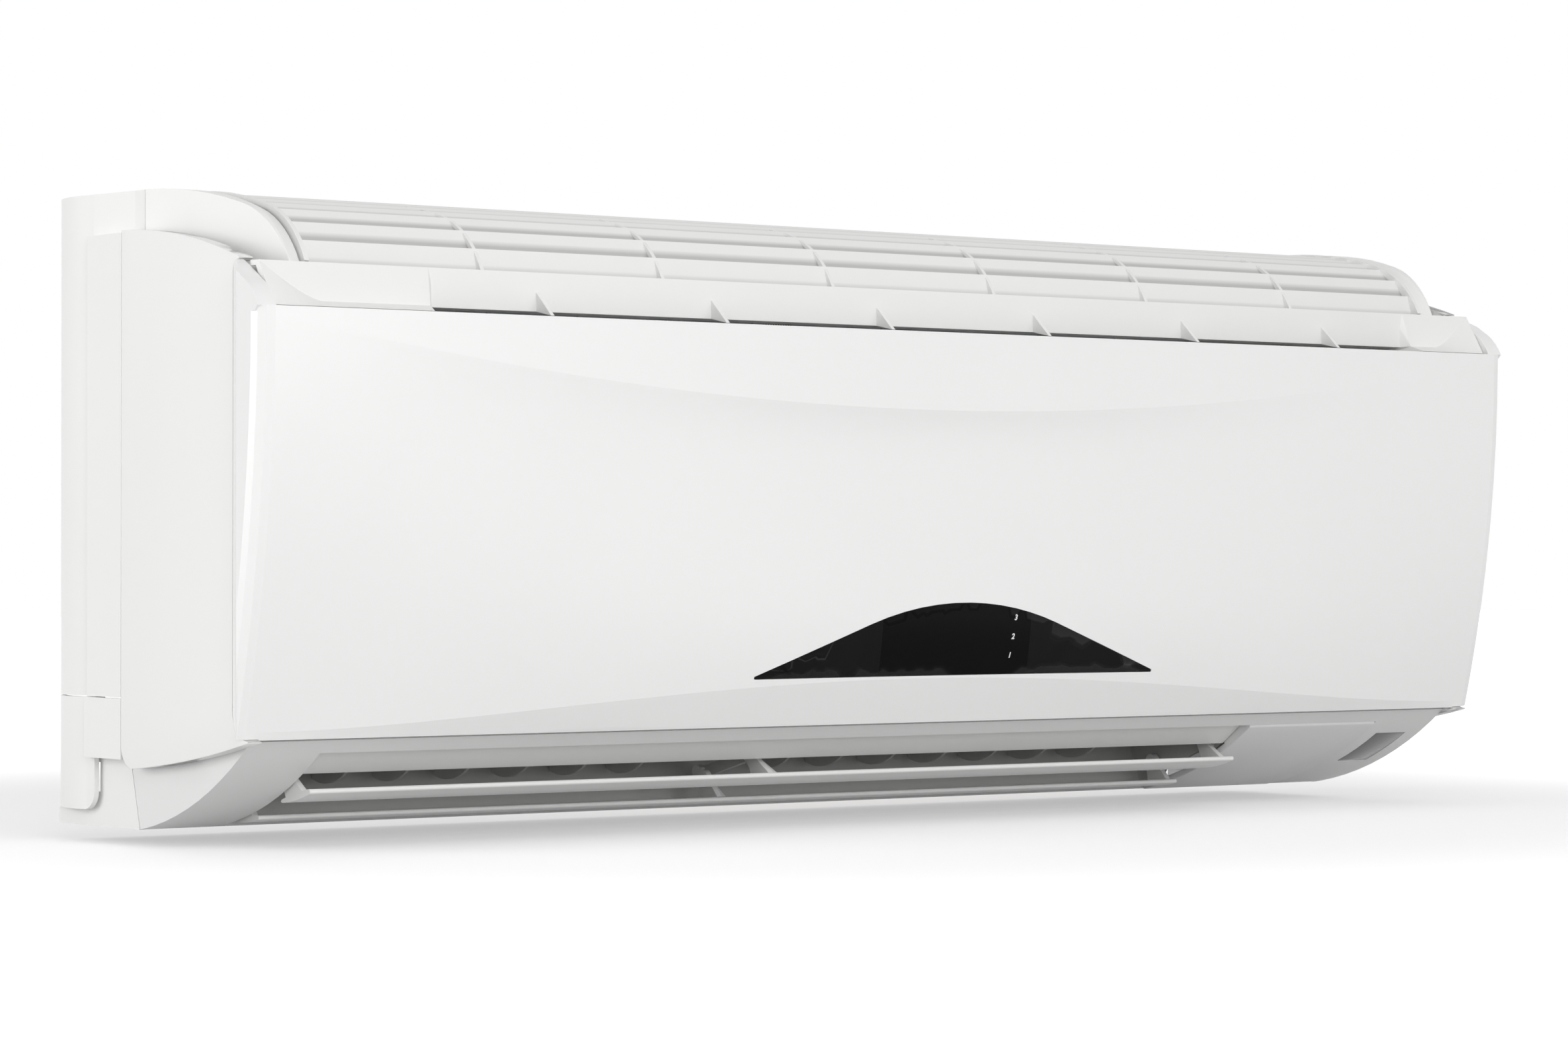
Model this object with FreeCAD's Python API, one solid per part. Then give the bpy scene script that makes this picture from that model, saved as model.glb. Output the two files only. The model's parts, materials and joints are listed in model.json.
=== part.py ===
import FreeCAD, Part
import math
import os

from FreeCAD import Vector

# Wall-mounted fan coil unit, in millimetres. Depth is measured from the wall towards the room,
# height from the underside, and x from the middle towards the right as seen from the room.

# Overall body
HEIGHT = 300.0
BODY_HALF = 385.0           # half width of the base body
BAND_RISE = 7.5             # the side bands stand out this far from the base body
PANEL_RISE = 7.5            # the front panel stands out this far beyond the side bands
WALL = 2.5                  # moulded walls
SEAM = 0.4                  # parting gap between neighbouring mouldings
FIT = 0.3                   # gap where one piece drops into another
RUN = 0.05                  # radial running clearance of pins and shafts

# Rear chassis
BACK_STAND = 4.0            # back wall's distance from the wall, room for the mounting plate
COLUMN_INSET = 9.0          # the rounded rear columns are this much narrower at the wall
COLUMN_DEPTH = 40.0
COLUMN_SWELL = 4.0
COLUMN_BOW = 4.5
STRIP_DEPTH = 72.0          # seam to the side cover
STRIP_TOP_DROP = 20.0
STRIP_FOOT = 33.0
KNOCKOUT_TOP = 62.0         # also the top of the pipe channel
KNOCKOUT_FOOT = 8.0
KNOCKOUT_CORNER = 9.0       # rounded lower front corner
DECK_DEPTH = 34.0           # closed top behind the grille
CROWN_DEPTH = 81.0          # the flat top ends here
FLOOR_DEPTH = 77.0
LOW_SEAM_DEPTH = 70.0       # slanted seam to the lower casing
LOW_SEAM_HEIGHT = 27.6

# Mounting plate
PLATE = 1.5                 # sheet thickness
PLATE_HALF = 300.0
PLATE_FOOT = 72.0
PLATE_TOP_DROP = 44.0
PLATE_CORNER = 14.0
SCREW_SPACING_X = 450.0
SCREW_SPACING_Z = 120.0
SCREW_HOLE_R = 2.75
HOOK_X = 180.0
HOOK_WIDTH = 40.0
HOOK_REACH = 9.0
HOOK_RISE = 11.0
PLATE_WINDOW_WIDTH = 110.0
PLATE_WINDOW_HEIGHT = 60.0
PLATE_WINDOW_PITCH = 160.0

# Crown of the top: flat, a wide arc, then a tight nose down to the lip
CROWN_RADIUS = 250.0
NOSE_DEPTH = 150.0
NOSE_END_DEPTH = 183.0
NOSE_END_DROP = 37.5
CAP_TAPER = 16.0            # the end caps draw in by this much at the nose
CAP_WIDTH = 24.0            # end caps beside the grille
CAP_BEVEL = 7.0             # bevelled band along the caps' inner edge
CAP_BEVEL_DROP = 2.5

# Lip, air slit and hinge of the front panel
LIP_DEPTH = 190.0
LIP_DROP = 38.6
LIP_FACE = 18.0
LIP_LEAN = 5.0              # the face leans out by this much
LIP_LEDGE_DEPTH = 202.5
LIP_LEDGE_DROP = 59.4
LIP_OVERHANG = 4.5          # the lip runs this far past the base body
SCOOP = 30.0                # the face draws up to nothing over this length at each end
SCOOP_POWER = 1.4
SCOOP_STEPS = 8
SHELF_DROP = 42.0           # shelf under the end caps
END_WALL_DROP = 51.0
COVE_LEFT_MARGIN = 82.0     # body end to the air slit
COVE_RIGHT_MARGIN = 42.0
COVE_DEPTH = 184.5
COVE_DROP = 57.0
COVE_BOW = 3.0
COVE_FACET = 6.0            # slanted end walls of the cove
SLIT_RIBS = 6
SLIT_RIB_FIRST = 66.0       # slit's left end to the first rib
SLIT_RIB_PITCH = 103.0
SLIT_RIB = 2.0
HINGE_DEPTH = 178.0
HINGE_DROP = 43.0
HINGE_PIN_R = 3.0
HINGE_PIN_LENGTH = 8.0

# Top grille
SLATS = 12
SLAT_WIDTH = 12.5
SLAT = 1.8
SLAT_TILT = 20.0            # the slats' upper edges stand out
SLAT_INSET = 4.0
GRILLE_RIBS = 6
GRILLE_RIB_PITCH = 105.0
GRILLE_RIB = 2.0
GRILLE_RIB_DEEP = 9.0
GRILLE_RIB_INSET = 1.6
GRILLE_END = 2.5
GRILLE_GAP = 1.2            # groove between the grille and the end caps

# Front panel
CHEEK_DEPTH = 173.0         # seam between side cover and panel cheek
PANEL_TOP_DROP = 60.0
PANEL_TOP_DEPTH = 208.5
PANEL_FOOT = 45.0
PANEL_FOOT_DEPTH = 183.0
PANEL_BOW = 6.5
PANEL_EDGE = 8.0            # rounded stretch at each end
SMILE_DROP = 39.0           # upper crease, below the panel's top at mid-width
SMILE_END_DROP = 4.0
SMILE_DIP = 3.5
ARCH_RISE = 22.5            # lower crease, above the panel's foot at mid-width
ARCH_END_RISE = 3.5
ARCH_SWELL = 6.0
DISH = ((0.08, -0.75, 0.0), (0.25, -1.0, 0.0), (0.62, -0.3, 0.45))  # way down, of dip, of swell
PANEL_SPANS = 8
PANEL_EDGE_STEPS = 3
EAR_GAP = 5.0               # base body to the inside of the ears
EAR_TIP_RISE = 13.0
EAR_TOP_BOW = 0.2
EAR_FRONT_BOW = 1.5
FLANGE = 4.0                # returned foot of the panel
FLARE_DEPTH = 15.0          # the cheeks flare out over this depth
FLARE_BOW = 1.0
HEEL_BOW = 5.0              # rounded rear corner at the cheeks' foot
PANEL_CORNER = 7.0          # rounded lower corners, seen from the front

# Display window and its board
WINDOW_X = 18.4
WINDOW_HALF = 130.7
WINDOW_FOOT = 68.4
WINDOW_HEIGHT = 36.8
WINDOW_FOOT_BOW = 0.3
WINDOW_TIP = 1.6            # blunt ends
WINDOW_CROWN_HALF = 61.0
WINDOW_CROWN_DROP = 10.5
BOARD = 1.6
DISPLAY_WIDTH = 132.0
DISPLAY_HEIGHT = 30.0
DISPLAY_DIODES = 3
DISPLAY_LIFT = 2.0          # board's foot above the window's foot
DIODE_X = 33.6              # window's middle to the diodes
DIODE = 5.0
DIODE_PITCH = 8.0

# Side covers
COVER_TOP_DROP = 19.0
COVER_FRONT_DROP = 36.4
COVER_TOP_BOW = 4.0
COVER_FOOT = 38.0
COVER_HEEL_DEPTH = 83.0
COVER_HEEL = 29.0
COVER_TOE_DEPTH = 186.5
COVER_TOE = 44.0
COVER_CORNER = 62.0
COVER_FOOT_BOW = 1.9
COVER_HEEL_BOW = 2.5
COVER_BEAK = 0.8            # the covers' top edge runs on over the ears' hinge rounding

# Lower casing and its outlet
FACE_TOP_DEPTH = 176.0
FACE_TOP = 44.0
FACE_FOOT_DEPTH = 79.0
FACE_FOOT = 0.4
FACE_BOW = 7.0
OUTLET_LEFT_MARGIN = 42.0   # body end to outlet
OUTLET_RIGHT_MARGIN = 140.0
OUTLET_TOP_DEPTH = 168.0
OUTLET_FOOT_DEPTH = 82.0
CONTROL_WIDTH = 95.0
CONTROL_PROUD = 0.8
CONTROL_RETURN = 10.0       # wall that closes the outlet's end
RECEIVER_LEFT_MARGIN = 34.0
RECEIVER_WIDTH = 23.0
RECEIVER_TOP_DEPTH = 158.0
RECEIVER_FOOT_DEPTH = 127.0

# Fan and its housing
FAN_DEPTH = 88.0
FAN_HEIGHT = 118.0
FAN_R = 42.0
FAN_BLADES = 30
FAN_BLADE_INNER_R = 33.0
FAN_BLADE = 1.2
FAN_BLADE_SWEEP = 9.0
FAN_SECTIONS = 8
FAN_DISC = 2.0
FAN_DISC_INNER_R = 27.0
FAN_END_GAP = 4.0
SHAFT_R = 4.0
HUB_R = 10.0
HUB_LENGTH = 14.0
STUB_LENGTH = 28.0
SCROLL_GAP = 7.0
SCROLL_START = 150.0
SCROLL_END = 200.0
SCROLL_FOOT_DEPTH = 80.0
SCROLL_FOOT = 4.0
GUTTER_LIP_DEPTH = 58.0
GUTTER_LIP = 168.0
GUTTER_FLOOR = 157.0
GUTTER_BACK_DEPTH = 30.0
GUTTER_BACK = 185.0
HOUSING_RIBS = 4
BULKHEAD_TOP = 140.0
BULKHEAD_FRONT_DEPTH = 132.0
BEARING_R = 9.0
BEARING_LENGTH = 9.0
BEARING_MOUNT_R = 15.0
BEARING_FLANGE_R = 19.0
BEARING_FLANGE = 2.0

# Motor
MOTOR_R = 36.0
MOTOR_LENGTH = 58.0
MOTOR_GAP = 4.5
MOTOR_BOSS_R = 14.0
MOTOR_BOSS = 3.0
SADDLE_PLATE = 4.0
SADDLE_INSET = 10.0
SADDLE_HALF = 40.0
CLAMP = 2.0
CLAMP_WIDTH = 12.0

# Drain pan, also the roof of the outlet
PAN_FLARE_DEPTH = 165.8
PAN_FLARE = 41.6
PAN_KEEL_DEPTH = 147.0
PAN_KEEL = 27.5
PAN_HEEL_DEPTH = 140.5
PAN_HEEL = 33.0
PAN_TONGUE_DEPTH = 133.0
PAN_TONGUE = 88.0
PAN_FLOOR = 51.0
PAN_FRONT_DEPTH = 171.5
PAN_FRONT = 76.0
SPOUT_R = 6.5
SPOUT_BORE = 4.5
SPOUT_LENGTH = 16.0

# Coil
FIN_PACK = 22.0
FRONT_PACK_FOOT = (160.0, 76.0)
FRONT_PACK_TOP_DEPTH = 110.0
FRONT_PACK_TOP_DROP = 38.0
REAR_PACK_FOOT = (44.0, 176.0)
REAR_PACK_TOP_DEPTH = 88.0
REAR_PACK_TOP_DROP = 30.0
END_PLATE = 1.2
END_PLATE_RIM = 1.5
TUBE_R = 4.0
TUBE_PITCH = 21.0
FRONT_BENDS = 4
REAR_BENDS = 2
PIPE_R = 7.0
PIPE_WALL = 1.0
PIPE_DEPTH = 22.0
PIPE_BEND_R = 12.0
SUPPLY_HEIGHT = 46.0
SUPPLY_END_X = -20.0
SUPPLY_DROP = 27.0          # outlet's right end to where the pipe turns down
RETURN_HEIGHT = 19.0
RETURN_END_X = 30.0
RETURN_DROP = 51.0
UNION_R = 10.48
UNION_THREAD = 14.0
NUT_ACROSS = 24.0
NUT_LENGTH = 16.0

# Front casing behind the panel, and the filters
FRAME_FOOT = 49.0
FRAME_FOOT_DEPTH = 177.5
FRAME_TOP_DROP = 64.0
FRAME_TOP_DEPTH = 186.0
FRAME_RAIL = 16.0
MULLION = 18.0
FILTER = 1.6
FILTER_GAP = 5.9
FILTER_RIB = 2.0
FILTER_COLUMNS = 5
FILTER_ROWS = 5
FILTER_TOP_DROP = 18.0
FILTER_REAR_DEPTH = 66.0
FILTER_BORDER = 7.0
FILTER_BOW = 5.0
FILTER_POCKET = 1.12

# Control box
BOX_LEFT_GAP = 17.0         # outlet's right edge to the box
BOX_DEPTH = 134.0
BOX_FRONT_DEPTH = 166.0
BOX_FOOT = 90.0
BOX_TOP_DROP = 78.0
BOX_WALL = 2.0
BUTTON_R = 4.5
BUTTON_FLANGE_R = 6.0
BUTTON_FLANGE = 1.5
BUTTON_PROUD = 2.5
BUTTON_FROM_RIGHT = 32.5
BUTTON_RISE = 40.0
COIL_CORE = 30.0            # transformer on the board
COIL_CORE_TALL = 20.0
CAPACITOR_R = 9.0
CAPACITOR_LENGTH = 30.0
RELAYS = 3
RELAY = 15.0
RELAY_TALL = 14.0
RELAY_SPACING = 6.0
BOARD_SPACING = 12.0        # between the pieces on the board
TERMINAL_WIDTH = 46.0
TERMINAL_DEPTH = 20.0
TERMINAL_HEIGHT = 20.0
TERMINAL_WAYS = 5
TERMINAL_WEB = 2.0
TERMINAL_SILL = 6.7

# Air vanes
UPPER_FRONT = (157.0, 18.7)
UPPER_CHORD = 26.0
UPPER_TILT = 12.0
UPPER_PIVOT = (135.0, 27.0)
LOWER_FRONT = (112.0, 4.6)
LOWER_CHORD = 24.0
LOWER_TILT = 4.0
LOWER_PIVOT = (94.0, 16.0)
VANE = 2.4                  # at the nose
VANE_BACK = 1.6
VANE_TAIL = 0.8
VANE_EDGE = 1.2
VANE_NOSE_BOW = 0.35
VANE_CAMBER = 0.8
VANE_ARM_ROOT = 16.0
VANE_BOSS = 1.5             # round the pins
VANE_END_GAP = 1.5
VANE_PIN_R = 2.5
VANE_ARM = 3.0
CRANK = (-9.0, 2.0)         # link pin from the vane's pivot
CRANK_OFFSET = -13.0        # outlet's middle to the cranks
LINK = 3.0
LINK_HALF = 3.6
LINK_WIDTH = 5.8
LINK_PIN_R = 1.8
VANE_MOTOR_R = 12.0
VANE_MOTOR_LENGTH = 16.0
VANE_MOTOR_OFFSET = (-2.0, 8.0)
VANE_PLUG_WIDTH = 14.4
VANE_PLUG_LENGTH = 11.2
VANE_PLUG_RISE = 4.0

# Deflector blades in two groups, and their tie bars
LEFT_BLADES = 6
RIGHT_BLADES = 7
BLADE_MARGIN = 55.0         # outlet's ends to the outermost blades
LEFT_CLEAR = 64.0           # outlet's middle to the innermost blades
RIGHT_CLEAR = 29.0
BLADE_FROM_FOOT = 42.0      # pivot's distance along the scroll from its foot
BLADE = 1.6
BLADE_UP = 14.0
BLADE_DOWN = 24.0
BLADE_TALL = 44.0
BLADE_BOW = 8.0
BLADE_LIFT = 0.8
STEM_R = 2.0
NOTCH_FROM = 14.0
NOTCH_TO = 22.0
NOTCH_DEEP = 9.0
TIE_ARM = 9.5
TIE_PIN_R = 1.2
TIE_PIN_ROOT = 1.0
STEM_ROOT = 2.0
TIE_WIDTH = 6.0
TIE = 2.0
TIE_OVERHANG = 7.0
TIE_SLOT_SLACK = 0.35
TIE_SLOT_TRAVEL = 1.2

# Worked out from the sizes above
BAND_HALF = BODY_HALF + BAND_RISE
PANEL_HALF = BAND_HALF + PANEL_RISE
EAR_INNER = BODY_HALF + EAR_GAP
LIP_END = BODY_HALF + LIP_OVERHANG
GRILLE_HALF = BODY_HALF - CAP_WIDTH
CAP_INNER = GRILLE_HALF + GRILLE_GAP
EAR_ROUND = HINGE_DEPTH - CHEEK_DEPTH
COVE_LEFT = COVE_LEFT_MARGIN - BODY_HALF
COVE_RIGHT = BODY_HALF - COVE_RIGHT_MARGIN
INNER_HALF = BODY_HALF - WALL
OUTLET_LEFT = OUTLET_LEFT_MARGIN - BODY_HALF
OUTLET_RIGHT = BODY_HALF - OUTLET_RIGHT_MARGIN
OUTLET_MIDDLE = (OUTLET_LEFT + OUTLET_RIGHT) / 2
CRANK_X = OUTLET_MIDDLE + CRANK_OFFSET
FRONT_PACK_TOP = (FRONT_PACK_TOP_DEPTH, HEIGHT - FRONT_PACK_TOP_DROP)
REAR_PACK_TOP = (REAR_PACK_TOP_DEPTH, HEIGHT - REAR_PACK_TOP_DROP)
BUTTON_X = INNER_HALF - BUTTON_FROM_RIGHT
BUTTON_HEIGHT = BOX_FOOT + BUTTON_RISE
PANEL_TOP = HEIGHT - PANEL_TOP_DROP
HINGE = (HINGE_DEPTH, HEIGHT - HINGE_DROP)
LIP_TOP = HEIGHT - LIP_DROP
NOSE_END = (NOSE_END_DEPTH, HEIGHT - NOSE_END_DROP)
SHELF = HEIGHT - SHELF_DROP
BEARING_BORE = SHAFT_R + RUN
PACK_LEFT = OUTLET_LEFT + FIT + WALL + FIT + END_PLATE
PACK_RIGHT = OUTLET_RIGHT - FIT - WALL - FIT - END_PLATE


def at(x, depth, height):
    """The point at x, at a depth from the wall and a height above the underside."""
    return Vector(x, -depth, height - HEIGHT / 2)


def middle(a, b):
    """Middle of the stretch from a to b, off the chord by b's third number, to the left of travel."""
    du, dv = b[0] - a[0], b[1] - a[1]
    bow = b[2] if len(b) == 3 else 0.0
    length = math.hypot(du, dv)
    return (a[0] + b[0]) / 2 - dv / length * bow, (a[1] + b[1]) / 2 + du / length * bow


def edges(points, place):
    """Lines and arcs through 2-D points, put into space by place(u, v)."""
    made = []
    for a, b in zip(points, points[1:]):
        start, end = place(a[0], a[1]), place(b[0], b[1])
        if len(b) == 3 and b[2]:
            made.append(Part.Arc(start, place(*middle(a, b)), end).toShape())
        else:
            made.append(Part.LineSegment(start, end).toShape())
    return made


def filled(points, place):
    """Face inside a closed outline. The last point may repeat the first to close with an arc."""
    loop = list(points)
    if math.dist(loop[0][:2], loop[-1][:2]) > 1e-6:
        loop.append(loop[0][:2])
    return Part.Face(Part.Wire(edges(loop, place)))


def prism(points, x0, x1):
    """Outline in depth and height, extruded from x0 to x1."""
    return filled(points, lambda d, h: at(x0, d, h)).extrude(Vector(x1 - x0, 0, 0))


def plan(points, h0, h1):
    """Outline in x and depth, extruded from height h0 to h1."""
    return filled(points, lambda x, d: at(x, d, h0)).extrude(Vector(0, 0, h1 - h0))


def plate(points, d0, d1):
    """Outline in x and height, extruded from depth d0 to d1."""
    return filled(points, lambda x, h: at(x, d0, h)).extrude(Vector(0, d0 - d1, 0))


def block(x0, x1, d0, d1, h0, h1):
    return Part.makeBox(x1 - x0, d1 - d0, h1 - h0, at(x0, d1, h0))


def rod(x0, x1, centre, r):
    """Cylinder along x about a centre given as depth and height."""
    return Part.makeCylinder(r, x1 - x0, at(x0, *centre), Vector(1, 0, 0))


def tube(x0, x1, centre, r, bore):
    return rod(x0, x1, centre, r).cut(rod(x0, x1, centre, bore))


def peg(x, height, d0, d1, r):
    """Cylinder along the depth."""
    return Part.makeCylinder(r, d1 - d0, at(x, d1, height), Vector(0, 1, 0))


def heading(a, b, end):
    """Unit tangent at the start or the end of the stretch from a to b."""
    chord = math.atan2(b[1] - a[1], b[0] - a[0])
    bow = b[2] if len(b) == 3 else 0.0
    lean = 2 * math.atan2(2 * bow, math.dist(a[:2], b[:2]))
    angle = chord - lean if end else chord + lean
    return math.cos(angle), math.sin(angle)


def moved_left(path, shift):
    """The path moved to its left by shift, with mitred corners and arcs kept parallel."""
    joints = []
    for i, point in enumerate(path):
        before = heading(path[i - 1], point, True) if i else heading(point, path[1], False)
        after = heading(point, path[i + 1], False) if i + 1 < len(path) else before
        nu, nv = -before[1] - after[1], before[0] + after[0]
        scale = 2 * shift / (nu * nu + nv * nv)
        joints.append((point[0] + nu * scale, point[1] + nv * scale))
    moved = [joints[0]]
    for i in range(1, len(path)):
        a, b = joints[i - 1], joints[i]
        if len(path[i]) == 3 and path[i][2]:
            old = math.dist(path[i - 1][:2], path[i][:2])
            radius = (old * old / 4 + path[i][2] ** 2) / (2 * path[i][2]) - shift
            chord = math.dist(a, b)
            rise = radius - math.copysign(math.sqrt(radius * radius - chord * chord / 4), radius)
            moved.append((b[0], b[1], rise))
        else:
            moved.append(b)
    return moved


def backwards(path):
    """The same path, walked from its end to its start."""
    turned = [path[-1][:2]]
    for i in range(len(path) - 1, 0, -1):
        bow = -path[i][2] if len(path[i]) == 3 else 0.0
        turned.append((path[i - 1][0], path[i - 1][1], bow))
    return turned


def ribbon(path, thickness):
    """Closed outline of a sheet on the left of a path, or on its right when negative."""
    return list(path) + backwards(moved_left(path, thickness))


def joined(shapes):
    return shapes[0].fuse(shapes[1:]).removeSplitter()


def mirrored(shape):
    return shape.mirror(Vector(0, 0, 0), Vector(1, 0, 0))


def both_ends(shape):
    return [shape, mirrored(shape)]


def save(name, *solids):
    """One file for a node: a single solid, or a group of separate ones."""
    shape = solids[0] if len(solids) == 1 else Part.makeCompound(list(solids))
    shape.exportStep("parts/%s.step" % name)


def along(start, end, distance):
    """The point at a distance from start towards end."""
    share = distance / math.dist(start, end)
    return start[0] + (end[0] - start[0]) * share, start[1] + (end[1] - start[1]) * share


def slab(foot, top, thickness):
    """Square-ended slab about the line from foot to top."""
    length = math.dist(foot, top)
    nu, nv = -(top[1] - foot[1]) / length * thickness / 2, (top[0] - foot[0]) / length * thickness / 2
    ends = (foot, nu, nv), (top, nu, nv), (top, -nu, -nv), (foot, -nu, -nv)
    return [(p[0] + u, p[1] + v) for p, u, v in ends]


def crown(start, drop):
    """Path of the top from a start depth to the nose, lowered by drop."""
    crown_fall = CROWN_RADIUS - math.sqrt(CROWN_RADIUS ** 2 - (NOSE_DEPTH - CROWN_DEPTH) ** 2)
    shoulder = (NOSE_DEPTH, HEIGHT - crown_fall)
    flat = (CROWN_DEPTH, HEIGHT)
    chord = math.dist(flat, shoulder)
    crown_bow = CROWN_RADIUS - math.sqrt(CROWN_RADIUS ** 2 - chord ** 2 / 4)
    down = math.asin((NOSE_DEPTH - CROWN_DEPTH) / CROWN_RADIUS)
    nose_chord = math.dist(shoulder, NOSE_END)
    half_turn = math.atan2(shoulder[1] - NOSE_END[1], NOSE_END[0] - shoulder[0]) - down
    nose_bow = nose_chord / 2 * math.tan(half_turn / 2)
    path = [(start, HEIGHT)] if start < CROWN_DEPTH else []
    path += [flat, shoulder + (crown_bow,), NOSE_END + (nose_bow,)]
    return moved_left(path, -drop) if drop else path


def mounting_plate():
    top = HEIGHT - PLATE_TOP_DROP
    round_bow = PLATE_CORNER * (1 - math.sqrt(0.5))
    outline = []
    for x, h, sx, sh in ((-1, PLATE_FOOT, 1, 1), (1, PLATE_FOOT, -1, 1), (1, top, -1, -1), (-1, top, 1, -1)):
        corner = [(x * PLATE_HALF, h + sh * PLATE_CORNER), (x * PLATE_HALF + sx * PLATE_CORNER, h)]
        if x * sh > 0:
            corner.reverse()
        outline += [corner[0], corner[1] + (-round_bow,)]
    sheet = plate(outline, 0, PLATE)
    shelf = top - PLATE
    hook = [(0, shelf), (HOOK_REACH, shelf), (HOOK_REACH, top + HOOK_RISE)]
    hook += [(HOOK_REACH - PLATE, top + HOOK_RISE), (HOOK_REACH - PLATE, top), (0, top)]
    hooks = [prism(hook, x - HOOK_WIDTH / 2, x + HOOK_WIDTH / 2) for x in (-HOOK_X, HOOK_X)]
    cuts = []
    for x in (-SCREW_SPACING_X / 2, SCREW_SPACING_X / 2):
        for h in (-SCREW_SPACING_Z / 2, SCREW_SPACING_Z / 2):
            cuts.append(peg(x, HEIGHT / 2 + h, 0, PLATE, SCREW_HOLE_R))
    for i in (-1, 0, 1):
        x, w, h = i * PLATE_WINDOW_PITCH, PLATE_WINDOW_WIDTH / 2, PLATE_WINDOW_HEIGHT / 2
        low = HEIGHT / 2 if i else HEIGHT / 2 - PLATE_WINDOW_HEIGHT
        cuts.append(block(x - w, x + w, 0, PLATE, low - h, low + h))
    return joined([sheet] + hooks).cut(Part.makeCompound(cuts))


def column_path():
    """Outer face of the right rear column, seen from above, walked from the wall."""
    shoulder = BODY_HALF + COLUMN_SWELL
    path = [(BODY_HALF - COLUMN_INSET, 0), (shoulder, COLUMN_DEPTH, -COLUMN_BOW)]
    return path + [(shoulder, COLUMN_DEPTH + WALL / 2)]


def strip(h0, h1):
    """Right raised strip in front of the column."""
    outer = block(INNER_HALF, BAND_HALF, COLUMN_DEPTH, STRIP_DEPTH, h0, h1)
    hollow = block(INNER_HALF, BAND_HALF - WALL, COLUMN_DEPTH + WALL, STRIP_DEPTH, h0 + WALL, h1 - WALL)
    return outer.cut(hollow)


def band_path():
    """Right end of the top band, seen from above: round the column, then in to the end cap."""
    return column_path()[:2] + [(BODY_HALF, STRIP_DEPTH), (BODY_HALF, CROWN_DEPTH)]


def rear_chassis():
    strip_top = HEIGHT - STRIP_TOP_DROP
    column = plan(ribbon(column_path(), WALL), KNOCKOUT_TOP, strip_top)
    band = plan(ribbon(band_path(), WALL), strip_top - WALL, HEIGHT)
    corner = KNOCKOUT_CORNER
    corner_bow = corner * (1 - math.sqrt(0.5))
    heel, step = KNOCKOUT_FOOT - SEAM, STRIP_FOOT - SEAM
    foot = [(0, 0), (FLOOR_DEPTH, 0), (LOW_SEAM_DEPTH, LOW_SEAM_HEIGHT), (LOW_SEAM_DEPTH, step)]
    foot += [(COLUMN_DEPTH, step), (COLUMN_DEPTH, heel + corner)]
    foot += [(COLUMN_DEPTH - corner, heel, -corner_bow), (0, heel)]
    deck_end = plan(band_path() + [(CAP_INNER, CROWN_DEPTH), (CAP_INNER, 0)], HEIGHT - WALL, HEIGHT)
    spine = block(INNER_HALF, BODY_HALF, COLUMN_DEPTH - WALL, COLUMN_DEPTH, STRIP_FOOT - WALL, strip_top)
    side = strip(KNOCKOUT_TOP, strip_top)
    end = joined([column, band, side, prism(foot, INNER_HALF, BODY_HALF), deck_end, spine])
    edge = BODY_HALF - COLUMN_INSET
    back = block(-edge, edge, BACK_STAND, BACK_STAND + WALL, KNOCKOUT_TOP, HEIGHT)
    deck = block(-edge, edge, 0, DECK_DEPTH, HEIGHT - WALL, HEIGHT)
    floor = block(-BODY_HALF, BODY_HALF, 0, FLOOR_DEPTH - WALL, 0, WALL)
    channel_roof = block(-edge, edge, 0, BACK_STAND + WALL, KNOCKOUT_TOP, KNOCKOUT_TOP + WALL)
    shell = joined([back, deck, floor, channel_roof] + both_ends(end))
    hang = HEIGHT - PLATE_TOP_DROP + FIT
    half = HOOK_WIDTH / 2 + WALL
    windows = [block(x - half, x + half, 0, BACK_STAND + WALL, hang - HOOK_RISE - WALL, hang)
               for x in (-HOOK_X, HOOK_X)]
    return shell.cut(Part.makeCompound(windows))


def knockout():
    """Right break-out cover over the end of the pipe channel."""
    column = plan(ribbon(column_path(), WALL), KNOCKOUT_FOOT, KNOCKOUT_TOP - SEAM)
    corner, front = KNOCKOUT_CORNER, COLUMN_DEPTH + WALL
    corner_bow = corner * (1 - math.sqrt(0.5))
    tip = front - WALL / 2
    toe = [(tip - corner, KNOCKOUT_FOOT), (tip, KNOCKOUT_FOOT + corner, -corner_bow)]
    toe += [(front + corner, KNOCKOUT_FOOT + corner), (front + corner, 0), (tip - corner, 0)]
    column = column.cut(prism(toe, 0, 2 * BODY_HALF))
    cover = block(BAND_HALF - WALL, BAND_HALF, COLUMN_DEPTH, STRIP_DEPTH, STRIP_FOOT, KNOCKOUT_TOP - SEAM)
    sole = block(BODY_HALF, BAND_HALF, COLUMN_DEPTH, STRIP_DEPTH, STRIP_FOOT, STRIP_FOOT + WALL)
    lap = block(BODY_HALF, BAND_HALF, COLUMN_DEPTH - WALL, COLUMN_DEPTH, STRIP_FOOT, KNOCKOUT_TOP - SEAM)
    return joined([column, cover, sole, lap])


def scroll_path():
    """Inner face of the scroll from its top behind the fan down to the outlet's foot."""
    r = FAN_R + SCROLL_GAP
    ends = []
    for angle in (math.radians(SCROLL_START), math.radians(SCROLL_END)):
        ends.append((FAN_DEPTH + r * math.cos(angle), FAN_HEIGHT + r * math.sin(angle)))
    bow = r * (1 - math.cos(math.radians(SCROLL_END - SCROLL_START) / 2))
    return [ends[0], ends[1] + (-bow,), (SCROLL_FOOT_DEPTH, SCROLL_FOOT)]


def face_path():
    """Outer face of the lower casing from its foot up to the panel."""
    return [(FACE_FOOT_DEPTH, FACE_FOOT), (FACE_TOP_DEPTH, FACE_TOP, -FACE_BOW)]


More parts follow.
